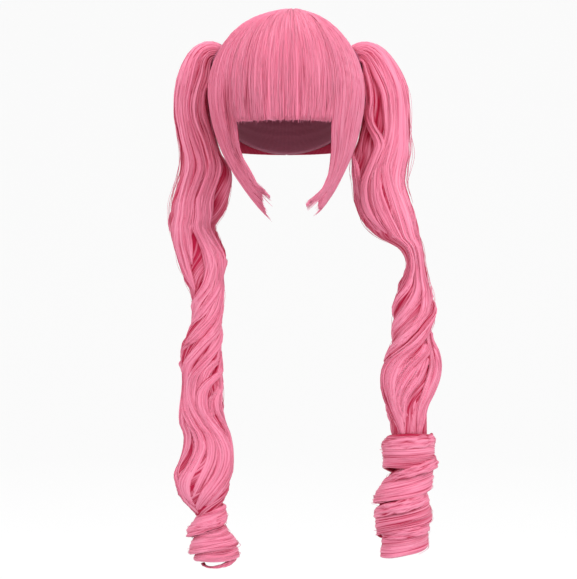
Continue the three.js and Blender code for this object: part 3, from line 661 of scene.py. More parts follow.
def fibre():
    """Heat-resistant synthetic fibre, drawn from a nozzle: satin, with fine lighter and darker lines along
    the strands, and a deep, warm pink painted between the locks and under the hair as their shade."""
    colours = bpy.context.scene.wig_colours
    material = bpy.data.materials.get("combed_fibre")
    if material:
        return material
    material, tree = new_material("combed_fibre")
    comb = add_node(tree, "ShaderNodeUVMap", uv_map="comb")
    noises = []
    for (apart, long), finish in (
        (FINE_LINES, {"Detail": 3.0, "Roughness": 0.6}),
        (BROAD_BANDS, {"Detail": 2.0}),
    ):
        scale = (1 / apart, 1 / long, 1)
        mapping = add_node(tree, "ShaderNodeMapping", {"Vector": comb.outputs["UV"], "Scale": scale})
        vector = mapping.outputs["Vector"]
        noise = add_node(
            tree,
            "ShaderNodeTexNoise",
            {"Vector": vector, "Scale": 1.0, **finish},
            noise_dimensions="2D",
        )
        noises.append(noise.outputs["Fac"])
    fine, broad = noises
    lines = add_node(tree, "ShaderNodeMapRange", {"Value": fine, "From Min": 0.3, "From Max": 0.72})
    bands = add_node(
        tree,
        "ShaderNodeMapRange",
        {"Value": broad, "From Min": 0.3, "From Max": 0.75, "To Min": 0.32, "To Max": 0.9},
    )
    both = add_node(
        tree,
        "ShaderNodeMath",
        {0: lines.outputs["Result"], 1: bands.outputs["Result"]},
        operation="MULTIPLY",
    )
    lit = add_node(
        tree,
        "ShaderNodeMix",
        {"Factor": both.outputs[0], 6: linear(colours.middle), 7: linear(colours.light)},
        data_type="RGBA",
    )
    painted_shade = add_node(tree, "ShaderNodeAttribute", attribute_name="painted_shade")
    dark_lines = add_node(
        tree,
        "ShaderNodeMapRange",
        {"Value": fine, "From Min": 0.24, "From Max": 0.5, "To Min": 0.68, "To Max": 0.0},
    )
    # 1.25 times the painted shade between the locks, and the fibre's dark lines on top; both mix in the deep
    # colour
    darkness = add_node(
        tree,
        "ShaderNodeMath",
        {0: painted_shade.outputs["Fac"], 1: 1.25, 2: dark_lines.outputs["Result"]},
        operation="MULTIPLY_ADD",
        use_clamp=True,
    )
    colour = add_node(
        tree,
        "ShaderNodeMix",
        {"Factor": darkness.outputs[0], 6: lit.outputs[2], 7: linear(colours.deep)},
        data_type="RGBA",
    )
    relief = add_node(tree, "ShaderNodeBump", {"Height": fine, "Strength": 0.5, "Distance": 0.0006})
    # the light that enters between the locks is scattered, so they are matt there
    gloss = add_node(
        tree,
        "ShaderNodeMapRange",
        {"Value": darkness.outputs[0], "From Min": 0.3, "From Max": 0.95, "To Min": 0.46, "To Max": 0.95},
    )
    shader = add_node(
        tree,
        "ShaderNodeBsdfPrincipled",
        {
            "Base Color": colour.outputs[2],
            "Roughness": gloss.outputs["Result"],
            "IOR": 1.45,
            # most of the gloss has been through the fibre and carries its colour
            "Specular Tint": (1.0, 0.5, 0.62, 1.0),
            "Sheen Weight": 0.08,
            "Sheen Roughness": 0.4,
            "Sheen Tint": (1.0, 0.6, 0.7, 1.0),
            "Normal": relief.outputs["Normal"],
        },
    )
    add_node(tree, "ShaderNodeOutputMaterial", {"Surface": shader.outputs["BSDF"]})
    return material


def woven(name, hexa, pitch, roughness):
    """Knitted polyamide net or wound elastic thread: matt, with small crossing ribs, pitch metres apart."""
    material, tree = new_material(name)
    comb = add_node(tree, "ShaderNodeUVMap", uv_map="comb")
    size = 1 / pitch
    scale = (size, size, size)
    mapping = add_node(tree, "ShaderNodeMapping", {"Vector": comb.outputs["UV"], "Scale": scale})
    # at 0.32, a wave's bands are one unit apart
    waves = [
        add_node(
            tree,
            "ShaderNodeTexWave",
            {"Vector": mapping.outputs["Vector"], "Scale": 0.32, "Distortion": 1.2, "Detail": 1.0},
            bands_direction=axis,
        )
        for axis in ("X", "Y")
    ]
    ribs = add_node(
        tree,
        "ShaderNodeMath",
        {0: waves[0].outputs["Fac"], 1: waves[1].outputs["Fac"]},
        operation="MULTIPLY",
    )
    # the gaps between the threads are about half as bright
    dark = tuple(c * 0.55 for c in linear(hexa)[:3]) + (1.0,)
    colour = add_node(
        tree,
        "ShaderNodeMix",
        {"Factor": ribs.outputs[0], 6: dark, 7: linear(hexa)},
        data_type="RGBA",
    )
    relief = add_node(
        tree, "ShaderNodeBump", {"Height": ribs.outputs[0], "Strength": 0.6, "Distance": 0.0005}
    )
    shader = add_node(
        tree,
        "ShaderNodeBsdfPrincipled",
        {
            "Base Color": colour.outputs[2],
            "Roughness": roughness,
            "Sheen Weight": 0.2,
            "Normal": relief.outputs["Normal"],
        },
    )
    add_node(tree, "ShaderNodeOutputMaterial", {"Surface": shader.outputs["BSDF"]})
    return material


def matt_paper():
    """Background paper: matt, with a faint grain. It glows a little, so that it stays pale in the shade."""
    colours = bpy.context.scene.wig_colours
    material, tree = new_material("matt_paper")
    place = add_node(tree, "ShaderNodeTexCoord")
    grain = add_node(
        tree, "ShaderNodeTexNoise", {"Vector": place.outputs["Object"], "Scale": 40.0, "Detail": 4.0}
    )
    relief = add_node(tree, "ShaderNodeBump", {"Height": grain.outputs["Fac"], "Strength": 0.03})
    shader = add_node(
        tree,
        "ShaderNodeBsdfPrincipled",
        {
            "Base Color": linear(colours.floor),
            "Roughness": 0.9,
            "Emission Color": linear(colours.backdrop),
            "Emission Strength": PAPER_GLOW,
            "Normal": relief.outputs["Normal"],
        },
    )
    add_node(tree, "ShaderNodeOutputMaterial", {"Surface": shader.outputs["BSDF"]})
    return material


# The hair over the head


def blunt(step, steps):
    """Share of the way across, with the first and last step kept for closing the edge, and which those
    are."""
    return np.clip((step - 1) / (steps - 2), 0, 1), (step == 0) | (step == steps)


def two_sides(step, steps, outer_steps):
    """Which steps round a closed section lie on its outer side, and their share of the way across it."""
    outer = step <= outer_steps
    way = np.where(outer, step, steps - step) / np.where(outer, outer_steps, steps - outer_steps)
    return outer, way


def bulged(near):
    """A quarter circle, from 0 at an edge to 1 where near is 1."""
    return np.sqrt(1 - (1 - near) ** 2)


def swung(fall):
    """How far a side lock's end has swung sideways at a level: 0 at the temple, 1 at its tip."""
    return np.clip((fall - 1.2) / 1.4, 0, 1) ** 2


def panel(name, columns, rows, angles, hem, relief, width, length, swing=0.0, jag=0.003, thinning=0.35):
    """A panel of combed hair. angles(share, down) gives the azimuth, hem(share) how far down the panel ends,
    and relief(share, down) how far the surface stands out and its painted shade between the locks. swing is
    how far its tip lies to the side and jag the raggedness of its end, both in metres, and thinning how much
    of its thickness it loses on the way there. Its underside gets the painted shade UNDERSIDE_SHADE."""
    s = sizes()
    outer_columns = round(OUTER * columns)

    def place(i, j):
        outer = i <= outer_columns
        # the fewer columns of the underside meet some of the outer ones at the ends
        under = np.rint((columns - i) * outer_columns / (columns - outer_columns))
        share, side_edge = blunt(np.where(outer, i, under), outer_columns)
        down, end_edge = blunt(j, rows)
        out, painted_shade = relief(share, down)
        near = np.clip(np.minimum(share, 1 - share) * width / EDGE, 0, 1)
        rounding = THIN_EDGE + (1 - THIN_EDGE) * bulged(near)
        middle = (s.hair_top + s.hair_under) / 2
        thin = (1 - thinning * down**2) * rounding
        rise = (s.hair_top - middle) * thin + out * rounding
        sink = (s.hair_under - middle) * thin
        lift = middle + np.where(side_edge | end_edge, 0, np.where(outer, rise, sink))
        ragged = streaks(share, 0.0, max(8, int(width / CUT_STEP)), 1, 71) * jag
        bottom = fall_at(hem(share) + ragged, middle)
        fall = WHORL + (bottom - WHORL) * down
        points = head_point(angles(share, down), fall, lift)
        points[:, 0] += swing * swung(fall)
        return points, np.where(outer, painted_shade, UNDERSIDE_SHADE)

    return combed_sheet(name, columns, rows, place, width / OUTER, length)


def combed_relief(width, seed, locks=0.0016):
    """Relief of combed hair: soft locks, as far as locks says, with clumps and single lines in them, and
    painted shade in the dips between them, less of it near the whorl.
    """
    wide = max(4, round(width / LOCK_WIDTH))
    clumps = max(8, round(width / CLUMP_WIDTH))
    lines = max(20, round(width / LINE_WIDTH))

    def relief(share, down):
        grow = ease(0.0, 0.25, down)
        soft = streaks(share, down, wide, 3, seed)
        clump = streaks(share, down, clumps, 5, seed + 1)
        line = streaks(share, down, lines, 7, seed + 2)
        out = (locks * soft + 0.0012 * clump + 0.0011 * line - 0.001) * (0.25 + 0.75 * grow)
        # painted shade in the dips between the clumps and lines, lessened near the whorl
        painted_shade = np.clip(-0.9 * clump - 0.7 * line - 0.25, 0, 0.6) * grow
        return out, painted_shade - 0.07 - 0.2 * (1 - ease(0.05, 0.55, down))

    return relief


def fringe_angles(share, down):
    """The azimuth across the fringe, the same at every level."""
    return -(FRINGE_RIGHT - SEAM) + (FRINGE_LEFT + FRINGE_RIGHT - 2 * SEAM) * share


def fringe_end(share):
    """How far down the fringe ends, the same all the way across."""
    return sizes().fringe_hem


def side_angles(side):
    """The azimuth across a side lock, from its face edge backwards."""
    face = LEFT_FACE if side > 0 else RIGHT_FACE

    def angles(share, down):
        edge = read(face, down)
        return side * (edge + (SIDE_ANGLE - edge) * share)

    return angles


def side_end(side):
    """How far down a side lock ends, from its face edge backwards."""
    rows = LEFT_HEM if side > 0 else RIGHT_HEM

    def hem(share):
        return sizes().fringe_hem * read(rows, share)

    return hem


def side_relief(side, width):
    """The side locks part near the face: a strand along the face edge, a recess with painted shade, and the
    outer hair. The rest of each lock gets less painted shade, which lightens it all over.
    """
    base = combed_relief(width, 31 if side > 0 else 47)
    begin, end, low, deep = (0.05, 0.18, 0.0022, 0.45) if side < 0 else (0.03, 0.1, 0.0013, 0.26)

    def relief(share, down):
        out, painted_shade = base(share, down)
        edge = end - 0.03 + 0.06 * down
        inside = ease(begin - 0.015, begin + 0.015, share) * (1 - ease(edge - 0.012, edge + 0.012, share))
        gap = inside * ease(0.28, 0.45, down) * (1 - ease(0.8, 0.95, down))
        # painted shade in the recess, deep times the gap, and 0.13 less painted shade all over, which
        # lightens the side locks where they face away from the key lamp
        return out - low * gap, painted_shade - 0.13 + deep * gap

    return relief


def surface_paths(
    angles, hem, relief, count, steps, seed, spread=0.0012, swing=0.0, lift=0.0004, thinning=0.35
):
    """Paths of single strands over a panel, and their painted shade between the locks."""
    s = sizes()
    rng = np.random.default_rng(seed)
    share = rng.uniform(0.004, 0.996, (count, 1))
    start = rng.uniform(0, 0.5, (count, 1)) ** 2
    down = start + (1 - start) * np.linspace(0, 1, steps)[None, :]
    wander = share + 0.006 * np.sin(down * rng.uniform(3, 9, (count, 1)) + rng.uniform(0, 6.3, (count, 1)))
    wander = np.clip(wander, 0, 1)
    out, painted_shade = relief(wander, down)
    middle = (s.hair_top + s.hair_under) / 2
    top = middle + (s.hair_top - middle) * (1 - thinning * down**2) + out
    top = top + lift + rng.uniform(-0.0003, 0.0005, (count, 1))
    length = rng.normal(0, spread, (count, 1)) + 3 * spread * rng.uniform(0, 1, (count, 1)) ** 6
    bottom = fall_at(hem(wander) + length, middle)
    fall = WHORL + (bottom - WHORL) * down
    points = head_point(angles(wander, down), fall, top)
    points[..., 0] += swing * swung(fall)
    return points, painted_shade + rng.uniform(-0.18, 0.06, (count, 1))


class WIG_OT_fringe(bpy.types.Operator):
    """Builds the blunt fringe"""

    bl_idname = "wig.fringe"
    bl_label = "Fringe"

    def execute(self, context):
        s = sizes()
        width = math.radians(FRINGE_LEFT + FRINGE_RIGHT) * (s.head_width / 2 + s.hair_top)
        relief = combed_relief(width, 11)
        flow = (fringe_angles, fringe_end, relief)
        finish_hair(panel("fringe_hair", 260, 60, *flow, width, length=0.19, jag=0.002), "fringe")
        paths, painted_shade = surface_paths(*flow, count=330, steps=20, seed=12)
        finish_hair(strand_mesh("fringe_strands", paths, s.strand / 2, 13, painted_shade))
        return {"FINISHED"}


class WIG_OT_side_locks(bpy.types.Operator):
    """Builds the two locks that frame the face"""

    bl_idname = "wig.side_locks"
    bl_label = "Side locks"

    def execute(self, context):
        s = sizes()
        for name, side, swing in (("left", 1, 0.015), ("right", -1, -0.003)):
            width = math.radians(SIDE_SPREAD) * (s.head_width / 2 + s.hair_top)
            flow = (side_angles(side), side_end(side), side_relief(side, width))
            piece = panel(
                f"side_hair_{name}", 200, 72, *flow, width, length=0.24, swing=swing, jag=0.007, thinning=0.72
            )
            finish_hair(piece, f"side_lock_{name}")
            paths, painted_shade = surface_paths(
                *flow, count=280, steps=24, seed=21 + side, spread=0.0025, swing=swing, lift=0.0, thinning=0.6
            )
            finish_hair(strand_mesh(f"side_strands_{name}", paths, s.strand / 2, 23 + side, painted_shade))
        return {"FINISHED"}


def tie_seat(side):
    """Middle of a tie's seat, the direction it faces, and two directions along the seat."""
    s = sizes()
    fall = fall_at(s.tie_drop, s.hair_top)
    middle = head_point(side * TIE_ANGLE, fall, s.hair_top)
    facing = head_point(side * TIE_ANGLE, fall, s.hair_top + 0.001) - middle
    facing /= np.linalg.norm(facing)
    level = np.cross(facing, [0, 0, 1])
    level /= np.linalg.norm(level)
    return middle - 0.0026 * facing, facing, level, np.cross(level, facing)


def scalp_border(side, share):
    """The border of the back hair, as azimuth and fall: down the parting, along the nape, up behind the ear
    and round the whorl."""
    s = sizes()
    nape = fall_at(s.nape_hem, s.hair_top)
    parting, ear = 180 - BACK_GAP, SIDE_ANGLE + BACK_GAP
    rows = [
        (0.0, parting, WHORL),
        (0.34, parting, nape),
        (0.52, ear, nape),
        (0.82, ear, WHORL),
        (1.0, parting, WHORL),
    ]
    places, angles, falls = zip(*rows)
    return side * np.interp(share, places, angles), np.interp(share, places, falls)


def scalp_point(side, share, toward, lift):
    """A point of the back hair, toward the tie from 0 at the border to 1 in the tie."""
    s = sizes()
    azimuth, fall = scalp_border(side, share)
    centre = fall_at(s.tie_drop, s.hair_top)
    flow = toward * (1 + 0.25 * (1 - toward))
    points = head_point(azimuth + (side * TIE_ANGLE - azimuth) * flow, fall + (centre - fall) * flow, lift)
    middle, facing, level, upright = tie_seat(side)
    border = head_point(azimuth, fall, s.hair_top) - middle
    angle = np.arctan2(border @ upright, border @ level)
    ring = np.cos(angle)[..., None] * level + np.sin(angle)[..., None] * upright
    near = np.asarray(toward)[..., None] ** 3
    return points + ring * (s.tie_core + 0.001) * near + facing * 0.0015 * near


class WIG_OT_back_hair(bpy.types.Operator):
    """Builds the hair that is combed from the parting and the nape to the ties"""

    bl_idname = "wig.back_hair"
    bl_label = "Back hair"

    def execute(self, context):
        s = sizes()
        columns, rows, outer_rows = 340, 46, 34
        for name, side, seed in (("left", 1, 61), ("right", -1, 67)):
            relief = combed_relief(0.5, seed)

            def place(i, j, side=side, relief=relief):
                outer = j <= outer_rows
                k = np.where(outer, j, rows - j)
                toward, edge = blunt(k, np.where(outer, outer_rows, rows - outer_rows))
                share = (i % columns) / columns
                out, painted_shade = relief(share, 0.3 + 0.7 * toward)
                middle = (s.hair_top + s.hair_under) / 2
                near = np.clip(toward / 0.03, 0, 1)
                rise = (s.hair_top - middle) * (0.5 + 0.5 * bulged(near)) + out * (1 - 0.6 * toward)
                lift = middle + np.where(edge, 0, np.where(outer, rise, s.hair_under - middle))
                return scalp_point(side, share, toward, lift), np.where(outer, painted_shade, UNDERSIDE_SHADE)

            piece = combed_sheet(f"combed_back_{name}", columns, rows, place, across=0.5, along=0.25)
            finish_hair(piece, f"back_hair_{name}")
            rng = np.random.default_rng(seed + 3)
            count, steps = 420, 20
            share = rng.uniform(0, 1, (count, 1))
            toward = rng.uniform(0, 0.12, (count, 1)) + 0.86 * np.linspace(0, 1, steps)[None, :]
            out, _ = relief(share, 0.3 + 0.7 * toward)
            lift = s.hair_top + out * (1 - 0.6 * toward) + rng.uniform(0, 0.0008, (count, 1))
            paths = scalp_point(side, share, toward, lift)
            finish_hair(strand_mesh(f"back_strands_{name}", paths, s.strand / 2, seed))
        return {"FINISHED"}


class WIG_OT_cap(bpy.types.Operator):
    """Builds the cap under the hair, with its rows of sewn wefts"""

    bl_idname = "wig.cap"
    bl_label = "Cap"

    def execute(self, context):
        columns, rows, outer_rows = 96, 96, 40
        wefts = 13

        def place(i, j):
            outer, k = two_sides(j, rows, outer_rows)
            azimuth = -360 * (i % columns) / columns
            # the rim lies 70 mm down at the forehead and 150 mm down at the nape
            rim = fall_at(0.07 + 0.04 * (1 - np.cos(np.radians(azimuth))), 0.001)
            weft = 0.0007 * (0.5 + 0.5 * np.cos(k * wefts * 2 * math.pi)) ** 4
            band = 0.0009 * ease(0.93, 0.95, k)
            lift = np.where(outer, 0.0026, 0.0009 - weft * ease(0.05, 0.15, k) - band * 0.6)
            return head_point(azimuth, rim * k, lift), 0.0

        piece = combed_sheet("cap_net", columns, rows, place, across=0.5, along=0.3)
        colours = context.scene.wig_colours
        finish_piece(piece, woven("knitted_net", colours.net, 0.0018, 0.8), "crown")
        return {"FINISHED"}


class WIG_OT_hair_ties(bpy.types.Operator):
    """Builds the wound elastic ties"""

    bl_idname = "wig.hair_ties"
    bl_label = "Hair ties"

    def execute(self, context):
        s = sizes()
        colours = context.scene.wig_colours
        material = woven("wound_elastic", colours.tie, 0.0011, 0.7)
        round_steps, tube_steps = 120, 24
        clear = 0.0003  # what the tie stays clear of the hair
        big = s.tie_core + clear + s.tie_thickness / 2
        for name, side in (("left", 1), ("right", -1)):
            middle, facing, level, upright = tie_seat(side)

            def place(i, j):
                turn = 2 * math.pi * (i % round_steps) / round_steps
                tube = 2 * math.pi * (j % tube_steps) / tube_steps
                small = s.tie_thickness / 2 * (1 + 0.05 * np.cos(5 * tube + 9 * turn))
                ring = np.cos(turn)[:, None] * level + np.sin(turn)[:, None] * upright
                out = (big + small * np.cos(tube))[:, None] * ring
                rise = (clear + s.tie_thickness / 2 + small * np.sin(tube))[:, None] * facing
                return middle + out + rise, 0.0

            piece = combed_sheet(f"elastic_{name}", round_steps, tube_steps, place, across=0.09, along=0.022)
            finish_piece(piece, material, f"hair_tie_{name}")
        return {"FINISHED"}


# Pigtails


def pigtail_frame(side, table, down):
    """Centre, half widths, turn and level direction of a pigtail at a place along it."""
    s = sizes()
    at = np.interp(down, [row[0] for row in table], range(len(table)))
    _, drop, out, sway, wide, deep, turn, tilt = read_columns(table, at)
    x = side * (tie_seat(1)[0][0] + s.plumb_out + out * s.pigtail_width)
    centre = np.stack([x, sway * s.pigtail_width, -s.tie_drop - drop * s.pigtail_length], -1)
    lean = np.radians(tilt)
    across = np.stack(np.broadcast_arrays(np.cos(lean), 0.0, side * np.sin(lean)), -1)
    return centre, wide * s.pigtail_width / 2, deep * s.pigtail_width / 2, turn, across


def on_pigtail(side, table, down, place, lift):
    """A point round a pigtail: place in turns, from 0 at its left over -0.25 at its front, lift in metres."""
    centre, wide, deep, _, across = pigtail_frame(side, table, down)
    angle = 2 * math.pi * place
    back = np.array([0.0, 1.0, 0.0])
    points = centre + across * ((wide + lift) * np.cos(angle))[..., None]
    return points + back * ((deep + lift) * np.sin(angle))[..., None]


def pigtail_skin(side, table, seed):
    """The hair under the locks of a pigtail, with painted shade, most in the dips of its clumps and lines,
    as it shows only between the locks.
    """
    columns, rows = 180, 104
    top, bottom = table[0][0], table[-1][0]

    def place(i, j):
        share, end = blunt(j, rows)
        down = top + (bottom - top) * share
        strand = (i % columns) / columns
        centre, _, _, turn, _ = pigtail_frame(side, table, down)
        lump = streaks(strand, share, 9, 12, seed, True)
        clump = streaks(strand, share, 44, 22, seed + 1, True)
        line = streaks(strand, share, 130, 30, seed + 2, True)
        sunk = 0.0026 * ease(-0.08, -0.05, down) * (1 - ease(0.9, 0.94, down))
        lift = -sunk + 0.002 * lump + 0.0012 * clump + 0.0008 * line
        points = np.where(end[:, None], centre, on_pigtail(side, table, down, strand + turn, lift))
        # painted shade of the hair under the locks, deepest in the dips of its clumps and lines
        return points, np.clip(0.5 - 0.65 * clump - 0.75 * line, 0.05, 1)

    return combed_skin(columns, rows, place, across=0.16, along=0.62)


def lock_taper(share, rooted, slow):
    """How a lock narrows at its ends. One that is rooted in the tie keeps its width there."""
    begin, end = (0.22, 0.28) if slow else (0.08, 0.12)
    return np.sqrt(np.clip(np.minimum(1 if rooted else share / begin, (1 - share) / end), 0.01, 1))


def on_lock(side, table, rise, path, seed, share, across, under=False):
    """Points of a lock, at a share of its length and from 0 to 1 across it, and their painted shade, deeper
    toward the lock's edges, in the dips of its lines, clumps and folds, and on its underside."""
    down, place, wide = read_columns(path, share * (len(path) - 1))
    # thin locks and those at the back narrow slowly
    slow = max(row[2] for row in path) < 6 or max(row[1] for row in path) < -0.5
    taper = lock_taper(share, path[0][0] < -0.05, slow)
    wide = 0.001 * wide * taper
    _, half_wide, half_deep, _, _ = pigtail_frame(side, table, down)
    span = wide / (math.pi * (half_wide + half_deep))
    from_middle = np.abs(2 * across - 1)
    length = (path[-1][0] - path[0][0]) * sizes().pigtail_length
    fold = streaks(across, share, 3, max(2, round(length / 0.07)), seed + 2)
    clump = streaks(across, share, 5, max(3, round(length / 0.05)), seed)
    line = streaks(across, share, 11, max(4, round(length / 0.04)), seed + 1)
    dome = np.minimum(LOCK_DOME, 0.3 * wide) * np.sqrt(np.clip(1 - from_middle**2.4, 0, 1))
    comb = (0.0014 * fold + 0.0013 * clump + 0.0015 * line) * np.sqrt(np.clip(1 - from_middle**2, 0, 1))
    # the tie squeezes the roots
    low = 0.001 * rise - LOCK_SUNK - 0.002 * (1 - taper) - 0.002 * (1 - ease(-0.08, -0.06, down))
    lift = low + np.where(under, LOCK_UNDER, dome + comb) * taper
    # painted shade toward the lock's edges and in the dips of its lines, clumps and folds; the underside gets
    # 0.85
    dark = 0.75 * ease(0.76, 1.0, from_middle) - 1.15 * line - 0.8 * clump - 0.5 * fold - 0.2
    points = on_pigtail(side, table, down, place + (across - 0.5) * span, lift)
    return points, np.where(under, 0.85, np.clip(dark, -0.1, 0.85))


def lock_skin(side, table, rise, path, seed, columns=38, outer_columns=30):
    """A lock that lies on a pigtail: lens-shaped across, combed, and pointed at its ends."""
    length = (path[-1][0] - path[0][0]) * sizes().pigtail_length
    rows = max(18, round(length / 0.0056))

    def place(i, j):
        outer, across = two_sides(i % columns, columns, outer_columns)
        share, end = blunt(j, rows)
        points, painted_shade = on_lock(side, table, rise, path, seed, share, across, ~outer)
        middle, _ = on_lock(side, table, rise, path, seed, share, 0.5, True)
        return np.where(end[:, None], middle, points), painted_shade

    # on the map the lock is little more than half its width, so that its lines show at almost twice theirs
    map_width = 0.0006 * max(row[2] for row in path)
    return combed_skin(columns, rows, place, map_width, length, seed * 0.173)


def lock_strands(side, table, rise, path, seed, count, steps):
    """Paths of single strands that lie along a lock, and their painted shade."""
    rng = np.random.default_rng(seed + 500)
    start = rng.uniform(0.0, 0.4, (count, 1))
    share = start + (rng.uniform(0.75, 1, (count, 1)) - start) * np.linspace(0, 1, steps)[None, :]
    across = rng.uniform(0.06, 0.94, (count, 1))
    across = across + 0.06 * np.sin(share * rng.uniform(2, 7, (count, 1)) + start * 9)
    points, painted_shade = on_lock(side, table, rise + 0.2, path, seed, share, np.clip(across, 0.02, 0.98))
    return points, painted_shade + rng.uniform(-0.2, 0.15, (count, 1))


def back_locks(side, table, seed):
    """Paths of the locks that aren't seen from the front. They follow the pigtail's twist round its back."""
    rng = np.random.default_rng(seed)

    def turn_at(down):
        return float(pigtail_frame(side, table, np.array(down))[3])

    paths = []
    lengths = [(-0.078, 0.36, 0.0)] + ([(0.62, 0.905, 0.66)] if side < 0 else [])
    for begin, end, straight in lengths:
        for place in (-0.55, -0.64, -0.73, -0.82, -0.91, -0.99):
            start = place + rng.uniform(-0.02, 0.02)
            path = []
            for down in np.linspace(begin, end, 12):
                round_back = start + turn_at(down) - turn_at(straight) + rng.uniform(-0.01, 0.01)
                if -0.97 < round_back < -0.53:
                    path.append((down, round_back, 8 if down < -0.04 else 18))
                elif path:
                    break
            if len(path) > 2:
                paths.append((rng.uniform(-1, 0.6), path))
    last = 0.72 if side > 0 else 0.62
    for begin in np.arange(0.3, last, 0.042):
        path = []
        down = begin
        while down < last + 0.04 and (not path or path[-1][1] > -0.96):
            path.append((down, -0.53 + turn_at(down) - turn_at(begin), 18))
            down += 0.02
        if len(path) > 2:
            paths.append((rng.uniform(-1.2, 0.6), path))
    return paths


def fine_locks(side, table, rise, path, seed, count):
    """Thin locks that lie on a lock and cross it slowly, each like a lock with its own rise and path."""
    rng = np.random.default_rng(seed + 900)
    last = len(path) - 1
    thin = []
    for _ in range(count):
        begin = rng.uniform(0, 0.45) * last
        end = begin + rng.uniform(0.35, 0.55) * last
        at = np.linspace(begin, end, 8)
        down, place, wide = read_columns(path, at)
        _, half_wide, half_deep, _, _ = pigtail_frame(side, table, down)
        across = rng.uniform(0.14, 0.86) + rng.uniform(-0.18, 0.18) * np.linspace(-1, 1, 8)
        across = np.clip(across, 0.1, 0.9)
        span = 0.001 * wide / (math.pi * (half_wide + half_deep))
        height = 3.4 * math.sqrt(1 - abs(2 * float(across.mean()) - 1) ** 2.4)
        width = rng.uniform(2.6, 5.2)
        rows = [(*row, width) for row in zip(down, place + (across - 0.5) * span)]
        thin.append((rise + height * min(1, float(wide.mean()) / 12) - 0.5, rows))
    return thin


def loose_strands(side, table, count, steps, seed):
    """Paths of single strands that stand a little free of a pigtail. They follow its twist, and every fifth
    one stands out from its outer side, below the tie."""
    rng = np.random.default_rng(seed)
    top, bottom = table[0][0], table[-1][0]
    fifth = (np.arange(count) % 5 == 0)[:, None]
    start = np.where(fifth, rng.uniform(0.12, 0.26, (count, 1)), rng.uniform(0.02, 0.75, (count, 1)))
    share = start + rng.uniform(0.08, 0.2, (count, 1)) * np.linspace(0, 1, steps)[None, :]
    down = top + (bottom - top) * np.minimum(share, 1)
    turn = pigtail_frame(side, table, down)[3]
    outer = (0.0 if side > 0 else 0.5) + rng.uniform(-0.04, 0.04, (count, 1))
    place = np.where(fifth, outer, rng.uniform(0, 1, (count, 1)) + turn)
    place = place + 0.012 * np.sin(share * rng.uniform(20, 45, (count, 1)))
    free = np.where(fifth, 2.0, 1.0) * rng.uniform(0, 1, (count, 1)) ** 2
    lift = -0.001 + 0.0032 * free * np.sin(np.linspace(0, math.pi, steps))[None, :]
    return on_pigtail(side, table, down, place, lift)


class WIG_OT_pigtails(bpy.types.Operator):
    """Builds the twisted pigtails"""

    bl_idname = "wig.pigtails"
    bl_label = "Pigtails"

    def execute(self, context):
        s = sizes()
        for name, side, table, front in (
            ("left", 1, LEFT_PIGTAIL, LEFT_LOCKS),
            ("right", -1, RIGHT_PIGTAIL, RIGHT_LOCKS),
        ):
            under = combed_piece(f"pigtail_hair_{name}", [pigtail_skin(side, table, 3 + side)])
            finish_hair(under, f"pigtail_{name}")
            whole = front + back_locks(side, table, 7 + side)
            locks = [(11 * k + 2 + side, *lock) for k, lock in enumerate(whole)]
            skins = [lock_skin(side, table, rise, path, seed) for seed, rise, path in locks]
            finish_hair(combed_piece(f"pigtail_locks_{name}", skins))
            thin = []
            for seed, rise, path in locks:
                thin += fine_locks(side, table, rise, path, seed, 4)
            skins = [
                lock_skin(side, table, rise, path, 7 * k + 5, columns=12, outer_columns=9)
                for k, (rise, path) in enumerate(thin)
            ]
            finish_hair(combed_piece(f"pigtail_wisps_{name}", skins))
            on_each, loose, steps = 16, 60, 22
            strands = [
                lock_strands(side, table, rise, path, seed, on_each, steps) for seed, rise, path in locks
            ]
            free = loose_strands(side, table, loose, steps, 83 + side)
            strands.append((free, np.zeros((loose, steps))))
            paths, painted_shade = (np.concatenate(part) for part in zip(*strands))
            finish_hair(strand_mesh(f"pigtail_strands_{name}", paths, s.strand / 3, 89 + side, painted_shade))
        return {"FINISHED"}


# Ringlets


def roll_frame(side, table, along):
    """Centre and radius of a ringlet at a share of its length."""
    s = sizes()
    at = np.interp(along, [row[0] for row in table], range(len(table)))
    _, out, sway, wide = read_columns(table, at)
    x = side * (tie_seat(1)[0][0] + s.plumb_out + out * s.pigtail_width)
    return x, sway * s.pigtail_width, wide * s.pigtail_width / 2


def roll_point(side, table, windings, begin, tip, share, axial, radial):
    """A point on the wound band, at a share of its windings. axial, from -1 at its upper edge to 1 at its
    lower, and radial, in metres, count from the band's middle."""
    s = sizes()
    turns, drop, half, lean, reach = read_columns(windings, share * (len(windings) - 1))
    down = 0.001 * (drop + axial * half)
    length = (tip - begin) * s.pigtail_length
    x, y, radius = roll_frame(side, table, np.clip(down / length, 0, 1))
    angle = math.pi / 2 - 2 * math.pi * turns
    out = radius - BAND_SUNK + 0.001 * (reach + lean * axial) + radial
    z = -s.tie_drop - begin * s.pigtail_length - down
    return np.stack([x + out * np.cos(angle), y + out * np.sin(angle), z], -1)


